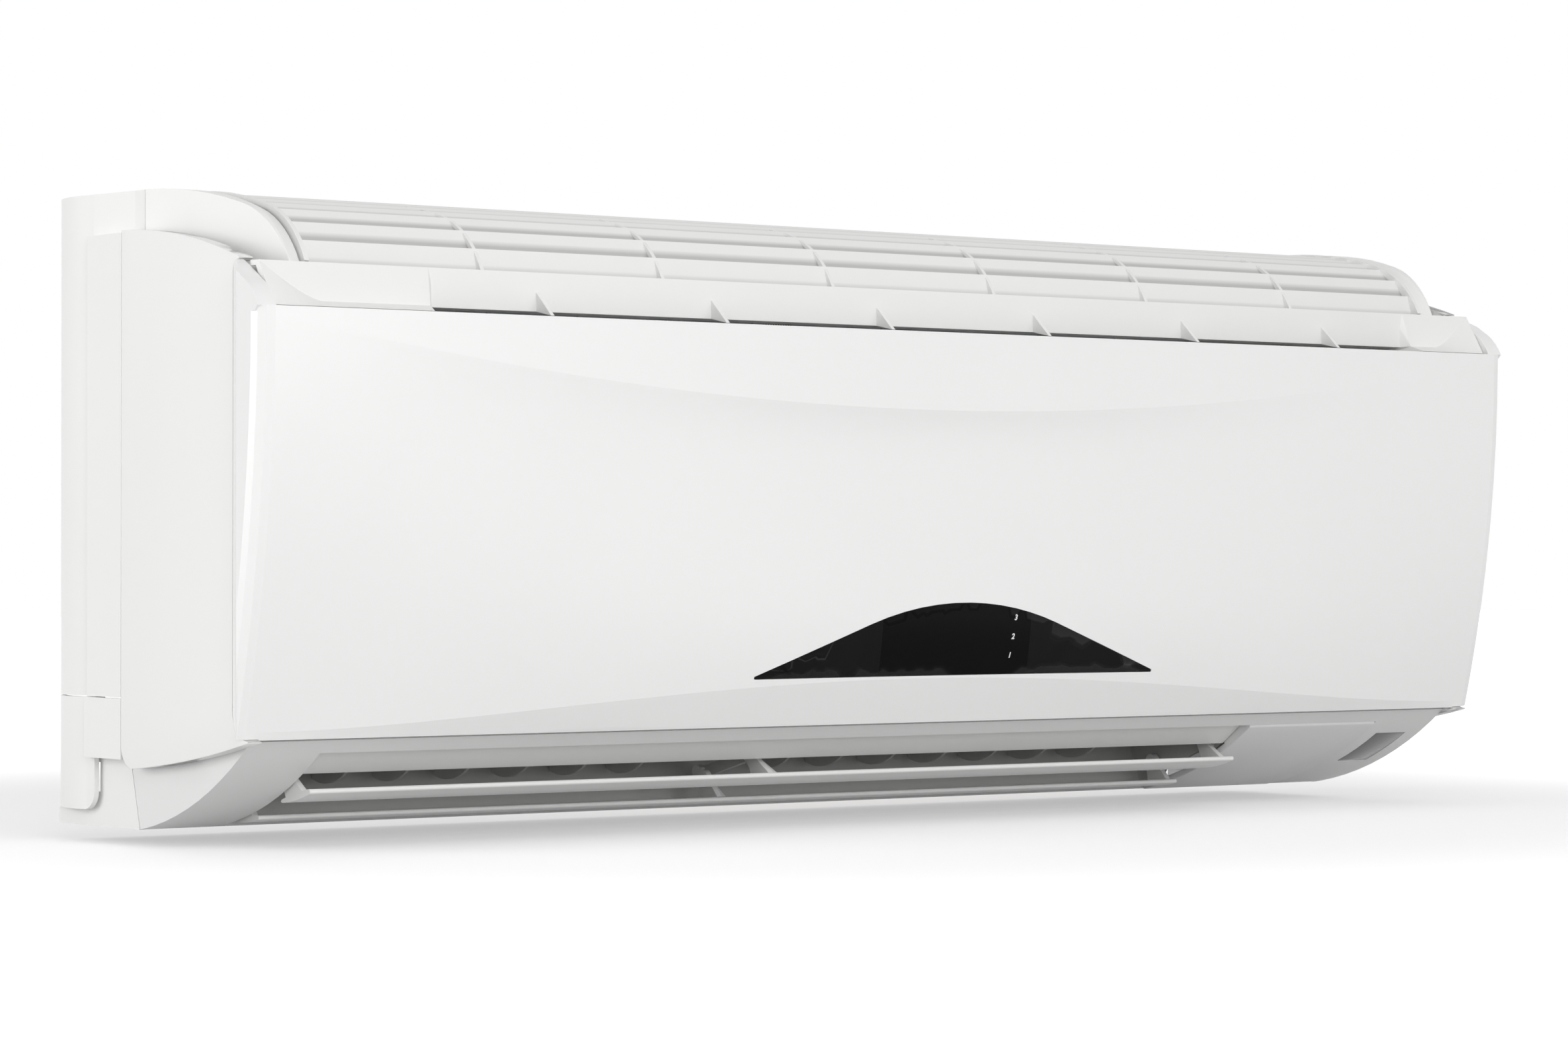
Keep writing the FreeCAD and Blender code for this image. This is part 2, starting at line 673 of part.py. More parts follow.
def fan_housing():
    left, right = OUTLET_LEFT - WALL, OUTLET_RIGHT + WALL
    path = scroll_path()
    gutter = [(GUTTER_LIP_DEPTH, GUTTER_LIP), (GUTTER_LIP_DEPTH, GUTTER_FLOOR)]
    gutter += [(GUTTER_BACK_DEPTH, GUTTER_FLOOR), (GUTTER_BACK_DEPTH, GUTTER_BACK)]
    rise = [(path[0][0], GUTTER_FLOOR - WALL), path[0]]
    pieces = [prism(ribbon(path, -WALL), left, right), prism(ribbon(gutter, WALL), left, right)]
    pieces.append(prism(ribbon(rise, -WALL), left, right))
    foot, top = moved_left(face_path(), WALL + FIT)
    share = (PAN_KEEL_DEPTH - foot[0]) / (top[0] - foot[0])
    keel = (PAN_KEEL_DEPTH, foot[1] + (top[1] - foot[1]) * share - FACE_BOW / 2)
    cheek = path + [(OUTLET_FOOT_DEPTH, SCROLL_FOOT + FIT), keel, (PAN_HEEL_DEPTH - FIT, PAN_HEEL)]
    cheek += [(PAN_TONGUE_DEPTH - FIT, PAN_TONGUE), (BULKHEAD_FRONT_DEPTH, BULKHEAD_TOP)]
    cheek.append((GUTTER_LIP_DEPTH, GUTTER_LIP - WALL))
    pieces += [prism(cheek, left, OUTLET_LEFT), prism(cheek, OUTLET_RIGHT, right)]
    stand = BACK_STAND + WALL
    back = moved_left(path, -WALL)
    web = [(stand, KNOCKOUT_TOP + WALL), (back[1][0] + FIT, KNOCKOUT_TOP + WALL), back[1][:2]]
    web += [(path[0][0], GUTTER_FLOOR - WALL - FIT), (stand, GUTTER_FLOOR - WALL - FIT)]
    step = (right - left - WALL) / (HOUSING_RIBS - 1)
    for i in range(HOUSING_RIBS):
        pieces.append(prism(web, left + i * step, left + i * step + WALL))
    body = joined(pieces)
    fan = (FAN_DEPTH, FAN_HEIGHT)
    holes = [rod(left, OUTLET_LEFT, fan, BEARING_MOUNT_R + FIT), rod(OUTLET_RIGHT, right, fan, HUB_R + WALL)]
    for pivot in (UPPER_PIVOT, LOWER_PIVOT):
        holes.append(rod(left, right, pivot, VANE_PIN_R + RUN))
    for x in blade_places(LEFT_BLADES, 0) + blade_places(RIGHT_BLADES, 1):
        holes.append(flow_rod(x, 0, -2 * WALL, WALL, STEM_R + RUN))
    return body.cut(Part.makeCompound(holes))


def fan_blade(angle):
    """One fan blade in section, bent forward."""
    turn = math.radians(FAN_BLADE_SWEEP)
    knee_r = (FAN_R + FAN_BLADE_INNER_R) / 2
    line = [(FAN_BLADE_INNER_R, angle), (knee_r, angle + turn / 3), (FAN_R - FIT, angle + turn)]
    path = [(FAN_DEPTH + r * math.cos(a), FAN_HEIGHT + r * math.sin(a)) for r, a in line]
    return ribbon(path, FAN_BLADE)


def cross_flow_fan():
    left, right = OUTLET_LEFT + FAN_END_GAP, OUTLET_RIGHT - FAN_END_GAP
    fan = (FAN_DEPTH, FAN_HEIGHT)
    step = (right - left - FAN_DISC) / FAN_SECTIONS
    discs = []
    for i in range(FAN_SECTIONS + 1):
        bore = HUB_R + RUN if i in (0, FAN_SECTIONS) else FAN_DISC_INNER_R
        discs.append(tube(left + i * step, left + i * step + FAN_DISC, fan, FAN_R, bore))
    blades = [prism(fan_blade(2 * math.pi * i / FAN_BLADES), left, right) for i in range(FAN_BLADES)]
    return joined(discs + blades)


def fan_stub():
    """Left stub shaft with the flange that closes the fan's end disc."""
    fan = (FAN_DEPTH, FAN_HEIGHT)
    left = OUTLET_LEFT + FAN_END_GAP
    return rod(left, left + FAN_DISC, fan, HUB_R).fuse(rod(left + FAN_DISC - STUB_LENGTH, left, fan, SHAFT_R))


def fan_hub():
    right = OUTLET_RIGHT - FAN_END_GAP
    return tube(right - HUB_LENGTH, right, (FAN_DEPTH, FAN_HEIGHT), HUB_R, SHAFT_R + RUN)


def motor_left():
    return OUTLET_RIGHT + WALL + MOTOR_GAP


def motor_shaft():
    right = OUTLET_RIGHT - FAN_END_GAP
    return rod(right - HUB_LENGTH, motor_left() + MOTOR_BOSS, (FAN_DEPTH, FAN_HEIGHT), SHAFT_R)


def fan_motor():
    fan = (FAN_DEPTH, FAN_HEIGHT)
    left = motor_left()
    body = rod(left, left + MOTOR_LENGTH, fan, MOTOR_R)
    rims = [e for e in body.Edges if e.Closed]
    body = body.makeFillet(MOTOR_BOSS, rims)
    boss = rod(left - MOTOR_BOSS, left + WALL, fan, MOTOR_BOSS_R)
    shaft_hole = rod(left - MOTOR_BOSS, left + 2 * MOTOR_BOSS, fan, SHAFT_R + RUN)
    return joined([body, boss]).cut(shaft_hole)


def saddle_xs():
    left = motor_left()
    return left + SADDLE_INSET, left + MOTOR_LENGTH - SADDLE_INSET - SADDLE_PLATE


def motor_saddle():
    """Cradle under the motor, standing on the chassis floor."""
    rear, front = FAN_DEPTH - SADDLE_HALF, FAN_DEPTH + SADDLE_HALF
    foot = FLOOR_DEPTH - WALL
    outline = [(rear, WALL), (foot, WALL), (front, FAN_HEIGHT - SADDLE_HALF)]
    outline += [(front, FAN_HEIGHT), (rear, FAN_HEIGHT)]
    x0, x1 = saddle_xs()
    seat = rod(x0, x1 + SADDLE_PLATE, (FAN_DEPTH, FAN_HEIGHT), MOTOR_R + FIT)
    base = block(x0, x1 + SADDLE_PLATE, rear, foot, WALL, 2 * WALL)
    cradle = [prism(outline, x, x + SADDLE_PLATE).cut(seat) for x in (x0, x1)]
    return joined(cradle + [base])


def motor_clamp():
    """Straps over the motor with feet on the saddle."""
    half, bore = CLAMP_WIDTH / 2, MOTOR_R + FIT
    straps = []
    for x in saddle_xs():
        mid = x + SADDLE_PLATE / 2
        ring = tube(mid - half, mid + half, (FAN_DEPTH, FAN_HEIGHT), bore + CLAMP, bore)
        top = block(mid - CLAMP_WIDTH, mid + CLAMP_WIDTH, 0, 2 * FAN_DEPTH, FAN_HEIGHT, 2 * FAN_HEIGHT)
        pieces = [ring.common(top)]
        for near, far in ((-SADDLE_HALF, -bore), (bore, SADDLE_HALF)):
            pieces.append(block(mid - half, mid + half, FAN_DEPTH + near, FAN_DEPTH + far,
                                FAN_HEIGHT, FAN_HEIGHT + CLAMP))
        straps.append(joined(pieces))
    return straps


def bearing_mount():
    fan = (FAN_DEPTH, FAN_HEIGHT)
    left = OUTLET_LEFT - WALL
    ring = tube(left - BEARING_FLANGE, OUTLET_LEFT, fan, BEARING_MOUNT_R, BEARING_R + RUN)
    flange = tube(left - BEARING_FLANGE, left, fan, BEARING_FLANGE_R, BEARING_R + RUN)
    return joined([ring, flange])


def fan_bearing():
    left = OUTLET_LEFT - WALL - BEARING_FLANGE
    right = left + BEARING_LENGTH - BEARING_FLANGE
    return tube(left, right, (FAN_DEPTH, FAN_HEIGHT), BEARING_R, BEARING_BORE)


def drain_pan():
    left, right = OUTLET_LEFT + FIT, OUTLET_RIGHT - FIT
    outer = [(PAN_FRONT_DEPTH + WALL, PAN_FRONT), (PAN_FRONT_DEPTH, PAN_FLARE + 2 * WALL)]
    outer += [(PAN_FLARE_DEPTH, PAN_FLARE), (PAN_KEEL_DEPTH, PAN_KEEL), (PAN_HEEL_DEPTH, PAN_HEEL)]
    outer += [(PAN_TONGUE_DEPTH, PAN_TONGUE), (PAN_TONGUE_DEPTH + WALL, PAN_TONGUE)]
    inner = [(PAN_HEEL_DEPTH + WALL, PAN_FLOOR), (PAN_FRONT_DEPTH - WALL, PAN_FLOOR)]
    inner.append((PAN_FRONT_DEPTH, PAN_FRONT))
    trough = prism(outer + inner, left, right)
    stop = inner + [(PAN_HEEL_DEPTH, PAN_FRONT)]
    ends = [prism(stop, left, left + WALL), prism(stop, right - WALL, right)]
    drain = ((PAN_HEEL_DEPTH + PAN_FRONT_DEPTH) / 2, PAN_FLOOR + SPOUT_R)
    spout = rod(left - SPOUT_LENGTH, left, drain, SPOUT_R)
    return joined([trough, spout] + ends).cut(rod(left - SPOUT_LENGTH, left + WALL, drain, SPOUT_BORE))


def end_plates():
    """Four tube sheets, with feet that stand in the pan and in the gutter."""
    packs = [(FRONT_PACK_FOOT, FRONT_PACK_TOP, PAN_FLOOR), (REAR_PACK_FOOT, REAR_PACK_TOP, GUTTER_FLOOR)]
    sheets = []
    for foot, top, floor in packs:
        outline = slab(foot, top, FIN_PACK + 2 * END_PLATE_RIM)
        half = FIN_PACK / 4
        leg = [(foot[0] - half, floor + FIT), (foot[0] + half, floor + FIT)]
        leg += [(foot[0] + half, foot[1] + FIN_PACK), (foot[0] - half, foot[1] + FIN_PACK)]
        for x in (PACK_LEFT - END_PLATE, PACK_RIGHT):
            sheets.append(joined([prism(outline, x, x + END_PLATE), prism(leg, x, x + END_PLATE)]))
    return sheets


def tube_place(foot, top, row):
    return along(foot, top, TUBE_PITCH * (row + 0.5) + END_PLATE_RIM)


def return_bend(x, side, foot, top, row):
    """Half ring between two neighbouring tubes, outside an end plate."""
    a, b = tube_place(foot, top, row), tube_place(foot, top, row + 1)
    start, end = at(x, *a), at(x, *b)
    far = at(x + side * TUBE_PITCH / 2, (a[0] + b[0]) / 2, (a[1] + b[1]) / 2)
    path = Part.Wire([Part.Arc(start, far, end).toShape()])
    ring = Part.Wire([Part.makeCircle(TUBE_R, start, Vector(1, 0, 0))])
    return path.makePipeShell([ring], True, False)


def coil_bends():
    packs = [(FRONT_PACK_FOOT, FRONT_PACK_TOP, FRONT_BENDS), (REAR_PACK_FOOT, REAR_PACK_TOP, REAR_BENDS)]
    bends = []
    for foot, top, count in packs:
        for i in range(count):
            bends.append(return_bend(PACK_LEFT - END_PLATE, -1, foot, top, 2 * i))
        for i in range(count - 1):
            bends.append(return_bend(PACK_RIGHT + END_PLATE, 1, foot, top, 2 * i + 1))
    return bends


def bent_pipe(points, r, bend_r):
    """Round bar along straight runs joined by tangent arcs."""
    runs = [points[0]]
    made = []
    for a, b, c in zip(points, points[1:], points[2:]):
        inward, outward = (a - b).normalize(), (c - b).normalize()
        setback = bend_r / math.tan(inward.getAngle(outward) / 2)
        start, end = b + inward * setback, b + outward * setback
        bisector = (inward + outward).normalize()
        centre = b + bisector * (setback / math.cos(inward.getAngle(outward) / 2))
        made.append(Part.LineSegment(runs[-1], start).toShape())
        made.append(Part.Arc(start, centre - bisector * bend_r, end).toShape())
        runs.append(end)
    made.append(Part.LineSegment(runs[-1], points[-1]).toShape())
    ring = Part.Wire([Part.makeCircle(r, points[0], points[1] - points[0])])
    return Part.Wire(made).makePipeShell([ring], True, False)


def water_pipe(start, drop_x, height, end_x):
    """Copper pipe from the rear fin pack down into the channel and along it."""
    route = [at(PACK_RIGHT + END_PLATE, *start), at(drop_x, *start), at(drop_x, PIPE_DEPTH, start[1])]
    route += [at(drop_x, PIPE_DEPTH, height), at(end_x, PIPE_DEPTH, height)]
    return bent_pipe(route, PIPE_R, PIPE_BEND_R).cut(bent_pipe(route, PIPE_R - PIPE_WALL, PIPE_BEND_R))


def pipe_union(end_x, height):
    """Hexagon nut on the pipe's end, with the threaded spigot that the field pipe screws to."""
    centre = (PIPE_DEPTH, height)
    corner = NUT_ACROSS / 2 / math.cos(math.pi / 6)
    hexagon = [(PIPE_DEPTH + corner * math.cos(i * math.pi / 3), height + corner * math.sin(i * math.pi / 3))
               for i in range(6)]
    nut = prism(hexagon, end_x - NUT_LENGTH / 2, end_x + NUT_LENGTH / 2)
    spigot = rod(end_x - NUT_LENGTH / 2 - UNION_THREAD, end_x, centre, UNION_R)
    socket = rod(end_x, end_x + NUT_LENGTH, centre, PIPE_R + RUN)
    bore = rod(end_x - NUT_LENGTH - UNION_THREAD, end_x, centre, PIPE_R - PIPE_WALL)
    return joined([nut, spigot]).cut(Part.makeCompound([socket, bore]))


def frame_depth(height):
    """Front face of the front casing's frame at a height."""
    share = (height - FRAME_FOOT) / (HEIGHT - FRAME_TOP_DROP - FRAME_FOOT)
    return FRAME_FOOT_DEPTH + (FRAME_TOP_DEPTH - FRAME_FOOT_DEPTH) * share


def front_casing():
    top = HEIGHT - FRAME_TOP_DROP
    end_top = HEIGHT - END_WALL_DROP - SEAM
    face = [(FRAME_FOOT_DEPTH, FRAME_FOOT), (FRAME_TOP_DEPTH, top)]
    sheet = prism(ribbon(face, WALL), -BODY_HALF, BODY_HALF)
    wall = [(CROWN_DEPTH + SEAM, FACE_TOP + WALL + SEAM), (FRAME_FOOT_DEPTH - WALL, FACE_TOP + WALL + SEAM)]
    wall += [face[0], face[1], (FRAME_TOP_DEPTH - WALL, end_top), (CROWN_DEPTH + SEAM, end_top)]
    low, high = FRAME_FOOT + FRAME_RAIL, top - FRAME_RAIL
    box_left = OUTLET_RIGHT + BOX_LEFT_GAP
    spans = [(OUTLET_LEFT + FRAME_RAIL, OUTLET_MIDDLE - MULLION / 2)]
    spans += [(OUTLET_MIDDLE + MULLION / 2, OUTLET_RIGHT - FRAME_RAIL), (box_left, INNER_HALF - BOX_WALL)]
    windows = [block(x0, x1, 0, 2 * FRAME_TOP_DEPTH, low, high) for x0, x1 in spans]
    frame = sheet.cut(Part.makeCompound(windows))
    return joined([frame] + both_ends(prism(wall, INNER_HALF, BODY_HALF)))


def cap_section(drop):
    """Outline of an end cap in depth and height, with its crown lowered by drop."""
    rear = CROWN_DEPTH + SEAM
    path = crown(rear, drop)
    path[0] = (rear, path[0][1])
    return path + [(path[-1][0], SHELF), (rear, SHELF)]


def cap_block(x0, x1, drop):
    """Right end cap's mass from x0 to x1, with a bevelled band along its inner edge."""
    brow = x0 + CAP_BEVEL
    ends = []
    for x, lowered in ((x0, drop + CAP_BEVEL_DROP), (brow, drop)):
        outline = cap_section(lowered)
        ends.append(Part.Wire(edges(outline + [outline[0][:2]], lambda d, h: at(x, d, h))))
    return Part.makeLoft(ends, True, True).fuse(prism(cap_section(drop), brow, x1))


def end_cap():
    """Right end cap beside the grille, drawn in towards the nose."""
    taper = [(BODY_HALF, CROWN_DEPTH), (BODY_HALF - CAP_TAPER, NOSE_END_DEPTH + WALL)]
    taper += [(2 * BODY_HALF, NOSE_END_DEPTH + WALL), (2 * BODY_HALF, CROWN_DEPTH)]
    inner_taper = [(x - WALL, d) for x, d in taper]
    core = cap_block(CAP_INNER, BODY_HALF, WALL).cut(plan(inner_taper, 0, 2 * HEIGHT))
    return cap_block(CAP_INNER, BODY_HALF, 0.0).cut(core).cut(plan(taper, 0, 2 * HEIGHT))


def lip_section(x):
    """Closed section of the lip at x; its leaning face draws up in a scoop towards the end."""
    reach = max(0.0, (abs(x) - LIP_END + SCOOP) / SCOOP)
    face = max(SEAM, LIP_FACE * (1 - reach ** SCOOP_POWER))
    chin = (LIP_DEPTH + LIP_LEAN * face / LIP_FACE, LIP_TOP - face)
    ledge = HEIGHT - LIP_LEDGE_DROP
    inner_top = LIP_TOP - WALL
    outline = [(NOSE_END_DEPTH, LIP_TOP), (LIP_DEPTH, LIP_TOP), chin, (LIP_LEDGE_DEPTH, ledge)]
    outline += [(LIP_LEDGE_DEPTH - 2 * WALL, ledge), (chin[0] - WALL, min(chin[1], inner_top) - FIT)]
    return outline + [(LIP_DEPTH - WALL, inner_top), (NOSE_END_DEPTH, inner_top)]


def lip(start, side):
    """One end of the lip: an even stretch from the cove, then the scoop."""
    scoop_start = side * (LIP_END - SCOOP)
    xs = [scoop_start + side * SCOOP * i / SCOOP_STEPS for i in range(SCOOP_STEPS + 1)]
    sections = []
    for x in xs:
        outline = lip_section(x)
        sections.append(Part.Wire(edges(outline + [outline[0]], lambda d, h: at(x, d, h))))
    scoop = Part.makeLoft(sections, True, True)
    x0, x1 = min(start, scoop_start), max(start, scoop_start)
    return [prism(lip_section(0.0), x0, x1), scoop]


def cove_stop(x, side):
    """Slanted wall that closes the cove's end against the lip."""
    near, far = sorted((x, x - side * COVE_FACET))
    back = COVE_DEPTH - WALL
    outline = lip_section(0.0)[1:4] + [(back, HEIGHT - LIP_LEDGE_DROP), (back, LIP_TOP)]
    slant = [(x, 2 * LIP_DEPTH), (x, LIP_LEDGE_DEPTH), (x - side * COVE_FACET, COVE_DEPTH)]
    slant += [(x - side * 2 * COVE_FACET, COVE_DEPTH), (x - side * 2 * COVE_FACET, 2 * LIP_DEPTH)]
    return prism(outline, near, far).cut(plan(slant, 0, HEIGHT))


def upper_casing():
    end_foot = HEIGHT - END_WALL_DROP
    shelf = block(CAP_INNER, BODY_HALF, CROWN_DEPTH + SEAM, LIP_DEPTH - WALL, SHELF - WALL, SHELF)
    wall = block(INNER_HALF, BODY_HALF, CROWN_DEPTH + SEAM, LIP_DEPTH - WALL, end_foot, SHELF)
    ledge = HEIGHT - LIP_LEDGE_DROP
    cove = (COVE_DEPTH, HEIGHT - COVE_DROP)
    hollow = [(NOSE_END_DEPTH, LIP_TOP), (LIP_DEPTH, LIP_TOP), cove + (-COVE_BOW,)]
    pieces = lip(COVE_LEFT, -1) + lip(COVE_RIGHT, 1)
    pieces.append(prism(ribbon(hollow, -WALL), COVE_LEFT, COVE_RIGHT))
    pieces += [cove_stop(COVE_LEFT, -1), cove_stop(COVE_RIGHT, 1)]
    rib = [(COVE_DEPTH + FIT, cove[1] + LIP_FACE / 2), (LIP_LEDGE_DEPTH, ledge), cove]
    rib.append((COVE_DEPTH - WALL, cove[1]))
    for i in range(SLIT_RIBS):
        x = COVE_LEFT + SLIT_RIB_FIRST + i * SLIT_RIB_PITCH
        pieces.append(prism(rib, x - SLIT_RIB / 2, x + SLIT_RIB / 2))
    for part in (end_cap(), shelf, wall):
        pieces += both_ends(part)
    body = joined(pieces)
    return body.cut(rod(-LIP_END, LIP_END, HINGE, HINGE_PIN_R + RUN))


def slat_outline(share):
    """One slat in section, at a share of the way along the crown."""
    path = crown(DECK_DEPTH + SEAM + SLAT_INSET, SLAT_INSET)
    wire = Part.Wire(edges(path, lambda d, h: Vector(d, h, 0)))
    station = wire.Length * share
    for edge in wire.Edges:
        if station <= edge.Length:
            break
        station -= edge.Length
    place = edge.getParameterByLength(min(station, edge.Length))
    centre, tangent = edge.valueAt(place), edge.tangentAt(place)
    angle = math.atan2(tangent.y, tangent.x) - math.radians(SLAT_TILT)
    du, dv = math.cos(angle) * SLAT_WIDTH / 2, math.sin(angle) * SLAT_WIDTH / 2
    return slab((centre.x - du, centre.y - dv), (centre.x + du, centre.y + dv), SLAT)


def top_grille():
    half = GRILLE_HALF
    pieces = []
    for i in range(SLATS):
        pieces.append(prism(slat_outline((i + 0.5) / SLATS), -half, half))
    path = crown(DECK_DEPTH + SEAM, 0)
    web = ribbon(moved_left(path, -GRILLE_RIB_INSET), -GRILLE_RIB_DEEP)
    frame = ribbon(path, -GRILLE_RIB_DEEP)
    for x in (-half, half - GRILLE_END):
        pieces.append(prism(frame, x, x + GRILLE_END))
    for i in range(GRILLE_RIBS):
        x = (i - (GRILLE_RIBS - 1) / 2) * GRILLE_RIB_PITCH
        pieces.append(prism(web, x - GRILLE_RIB / 2, x + GRILLE_RIB / 2))
    return joined(pieces)


def panel_depth(height):
    """Depth of the panel's front between its foot and its top, before the creases."""
    share = (height - PANEL_FOOT) / (PANEL_TOP - PANEL_FOOT)
    lean = (PANEL_TOP_DEPTH - PANEL_FOOT_DEPTH) * share
    return PANEL_FOOT_DEPTH + lean + 4 * PANEL_BOW * share * (1 - share)


def panel_section(x, setback, inset):
    """Closed section of the panel at x: upper face, dished middle, bevel under the arch, open back."""
    reach = min(abs(x) / (PANEL_HALF - PANEL_EDGE), 1.0) ** 2
    smile = PANEL_TOP - SMILE_DROP + (SMILE_DROP - SMILE_END_DROP) * reach
    arch = PANEL_FOOT + ARCH_END_RISE + (ARCH_RISE - ARCH_END_RISE) * (1 - reach) ** 2
    dip, swell = SMILE_DIP * (1 - reach), ARCH_SWELL * (1 - reach)
    rows = [(smile, 0.0)]
    for down, of_dip, of_swell in DISH:
        rows.append((smile - (smile - arch) * down, of_dip * dip + of_swell * swell))
    rows.append((arch, swell))
    back = setback + inset
    face = [at(x, panel_depth(h) + rise - back, h) for h, rise in rows]
    top = at(x, PANEL_TOP_DEPTH - back, PANEL_TOP + inset)
    foot = at(x, PANEL_FOOT_DEPTH - back, PANEL_FOOT + inset)
    rear = CHEEK_DEPTH - 2 * PANEL_EDGE - inset
    rear_foot, rear_top = at(x, rear, PANEL_FOOT + inset), at(x, rear, PANEL_TOP + inset)
    dish = Part.BSplineCurve()
    dish.interpolate(face)
    lines = [(face[-1], foot), (foot, rear_foot), (rear_foot, rear_top), (rear_top, top)]
    sides = [Part.LineSegment(top, face[0]).toShape(), dish.toShape()]
    sides += [Part.LineSegment(a, b).toShape() for a, b in lines]
    return Part.Wire(sides)


def panel_loft(inset):
    """The panel's block with its creased front, or its core when inset by the wall."""
    flat = BAND_HALF - WALL if inset else PANEL_HALF - PANEL_EDGE
    xs = [-flat + 2 * flat * i / PANEL_SPANS for i in range(PANEL_SPANS + 1)]
    middle_part = Part.makeLoft([panel_section(x, 0.0, inset) for x in xs], True, False)
    if inset:
        return middle_part
    pieces = [middle_part]
    for side in (-1, 1):
        rounds = []
        for i in range(PANEL_EDGE_STEPS + 1):
            angle = i * math.pi / 2 / PANEL_EDGE_STEPS
            out = PANEL_EDGE * math.sin(angle)
            rounds.append(panel_section(side * (flat + out), PANEL_EDGE * (1 - math.cos(angle)), 0.0))
        pieces.append(Part.makeLoft(rounds, True, True))
    return joined(pieces)


def ear():
    """Right ear of the panel, above its top edge, with the hinge pin inside."""
    bow = EAR_ROUND * (1 - math.sqrt(0.5))
    shoulder = (HINGE_DEPTH + PANEL_TOP_DEPTH) / 2
    root = PANEL_TOP - WALL
    outline = [(CHEEK_DEPTH, root), (CHEEK_DEPTH, HINGE[1]), (HINGE_DEPTH, HINGE[1] + EAR_ROUND, bow)]
    outline += [(shoulder, PANEL_TOP + EAR_TIP_RISE, EAR_TOP_BOW)]
    outline += [(PANEL_TOP_DEPTH - WALL, PANEL_TOP, EAR_FRONT_BOW), (PANEL_TOP_DEPTH - 2 * WALL, root)]
    pin = rod(EAR_INNER - HINGE_PIN_LENGTH, EAR_INNER + WALL, HINGE, HINGE_PIN_R)
    return joined([prism(outline, EAR_INNER, PANEL_HALF), pin])


def panel_skin():
    """The panel as one shell: creased front, flared cheeks, ears with hinge pins, returned foot."""
    past = PANEL_EDGE
    beyond, under, behind = PANEL_HALF + past, PANEL_FOOT - past, CHEEK_DEPTH - past
    flat = PANEL_HALF - PANEL_EDGE
    rear = block(-beyond, beyond, CHEEK_DEPTH - 4 * PANEL_EDGE, CHEEK_DEPTH, under, HEIGHT)
    low = block(-flat, flat, behind, PANEL_FOOT_DEPTH - FLANGE, under, COVER_CORNER)
    corner = [(behind, under), (behind, COVER_CORNER), (CHEEK_DEPTH, COVER_CORNER)]
    corner += [(COVER_TOE_DEPTH, PANEL_FOOT, -HEEL_BOW), (COVER_TOE_DEPTH, under)]
    flared = CHEEK_DEPTH + FLARE_DEPTH
    flare = [(BAND_HALF, behind), (BAND_HALF, CHEEK_DEPTH), (PANEL_HALF, flared, FLARE_BOW)]
    flare += [(2 * PANEL_HALF, flared), (2 * PANEL_HALF, behind)]
    r = PANEL_CORNER
    toe = [(PANEL_HALF - r, under), (beyond, under), (beyond, PANEL_FOOT + r), (PANEL_HALF, PANEL_FOOT + r)]
    toe.append((PANEL_HALF - r, PANEL_FOOT, r * (1 - math.sqrt(0.5))))
    body = panel_loft(0.0).cut(panel_loft(WALL)).Solids[0].cut(rear).cut(low)
    for piece in both_ends(prism(corner, BODY_HALF, beyond)):
        body = body.cut(piece)
    body = joined([body] + both_ends(ear()))
    for piece in both_ends(plan(flare, 0, HEIGHT)) + both_ends(plate(toe, behind, 2 * PANEL_TOP_DEPTH)):
        body = body.cut(piece)
    return body.Solids[0]


def window_face():
    """Display window seen from the front, filled in: straight flanks that run into a round crown."""
    foot, half = WINDOW_FOOT, WINDOW_HALF - WINDOW_TIP / 2
    tip, shoulder = foot + WINDOW_TIP, foot + WINDOW_HEIGHT - WINDOW_CROWN_DROP
    left, right = WINDOW_X - half, WINDOW_X + half
    outline = [(left, foot), (right, foot, WINDOW_FOOT_BOW), (right, tip, -WINDOW_TIP / 2)]
    outline += [(WINDOW_X + WINDOW_CROWN_HALF, shoulder)]
    outline += [(WINDOW_X - WINDOW_CROWN_HALF, shoulder, -WINDOW_CROWN_DROP)]
    outline += [(left, tip), (left, foot, -WINDOW_TIP / 2)]
    return filled(outline, lambda x, h: at(x, CHEEK_DEPTH, h))


def side_cover():
    """Right side cover: a shallow tray with a swept top edge that ends in a beak over the ear."""
    rear, front = STRIP_DEPTH + SEAM, CHEEK_DEPTH - SEAM
    brow = HINGE[1] + EAR_ROUND + SEAM
    start = [(rear, COVER_FOOT), (rear, HEIGHT - COVER_TOP_DROP)]
    lower = [(front, COVER_CORNER), (COVER_TOE_DEPTH - SEAM, PANEL_FOOT - SEAM, -HEEL_BOW)]
    lower += [(COVER_TOE_DEPTH - 2 * SEAM, COVER_TOE), (COVER_HEEL_DEPTH, COVER_HEEL, COVER_FOOT_BOW)]
    lower.append((rear, COVER_FOOT, COVER_HEEL_BOW))
    beak_bow = -(EAR_ROUND + SEAM) * (1 - math.sqrt(0.5))
    beak = [(HINGE_DEPTH, brow + COVER_BEAK, COVER_TOP_BOW), (HINGE_DEPTH, brow), (front, HINGE[1], beak_bow)]
    inside = BODY_HALF + SEAM / 2
    shell = prism(start + beak + lower, inside, BAND_HALF)
    plain = start + [(front, HEIGHT - COVER_FRONT_DROP, COVER_TOP_BOW)] + lower
    tray = filled(plain, lambda d, h: at(BODY_HALF, d, h)).makeOffset2D(-WALL)
    return shell.cut(tray.extrude(Vector(BAND_HALF - BODY_HALF - WALL, 0, 0)))


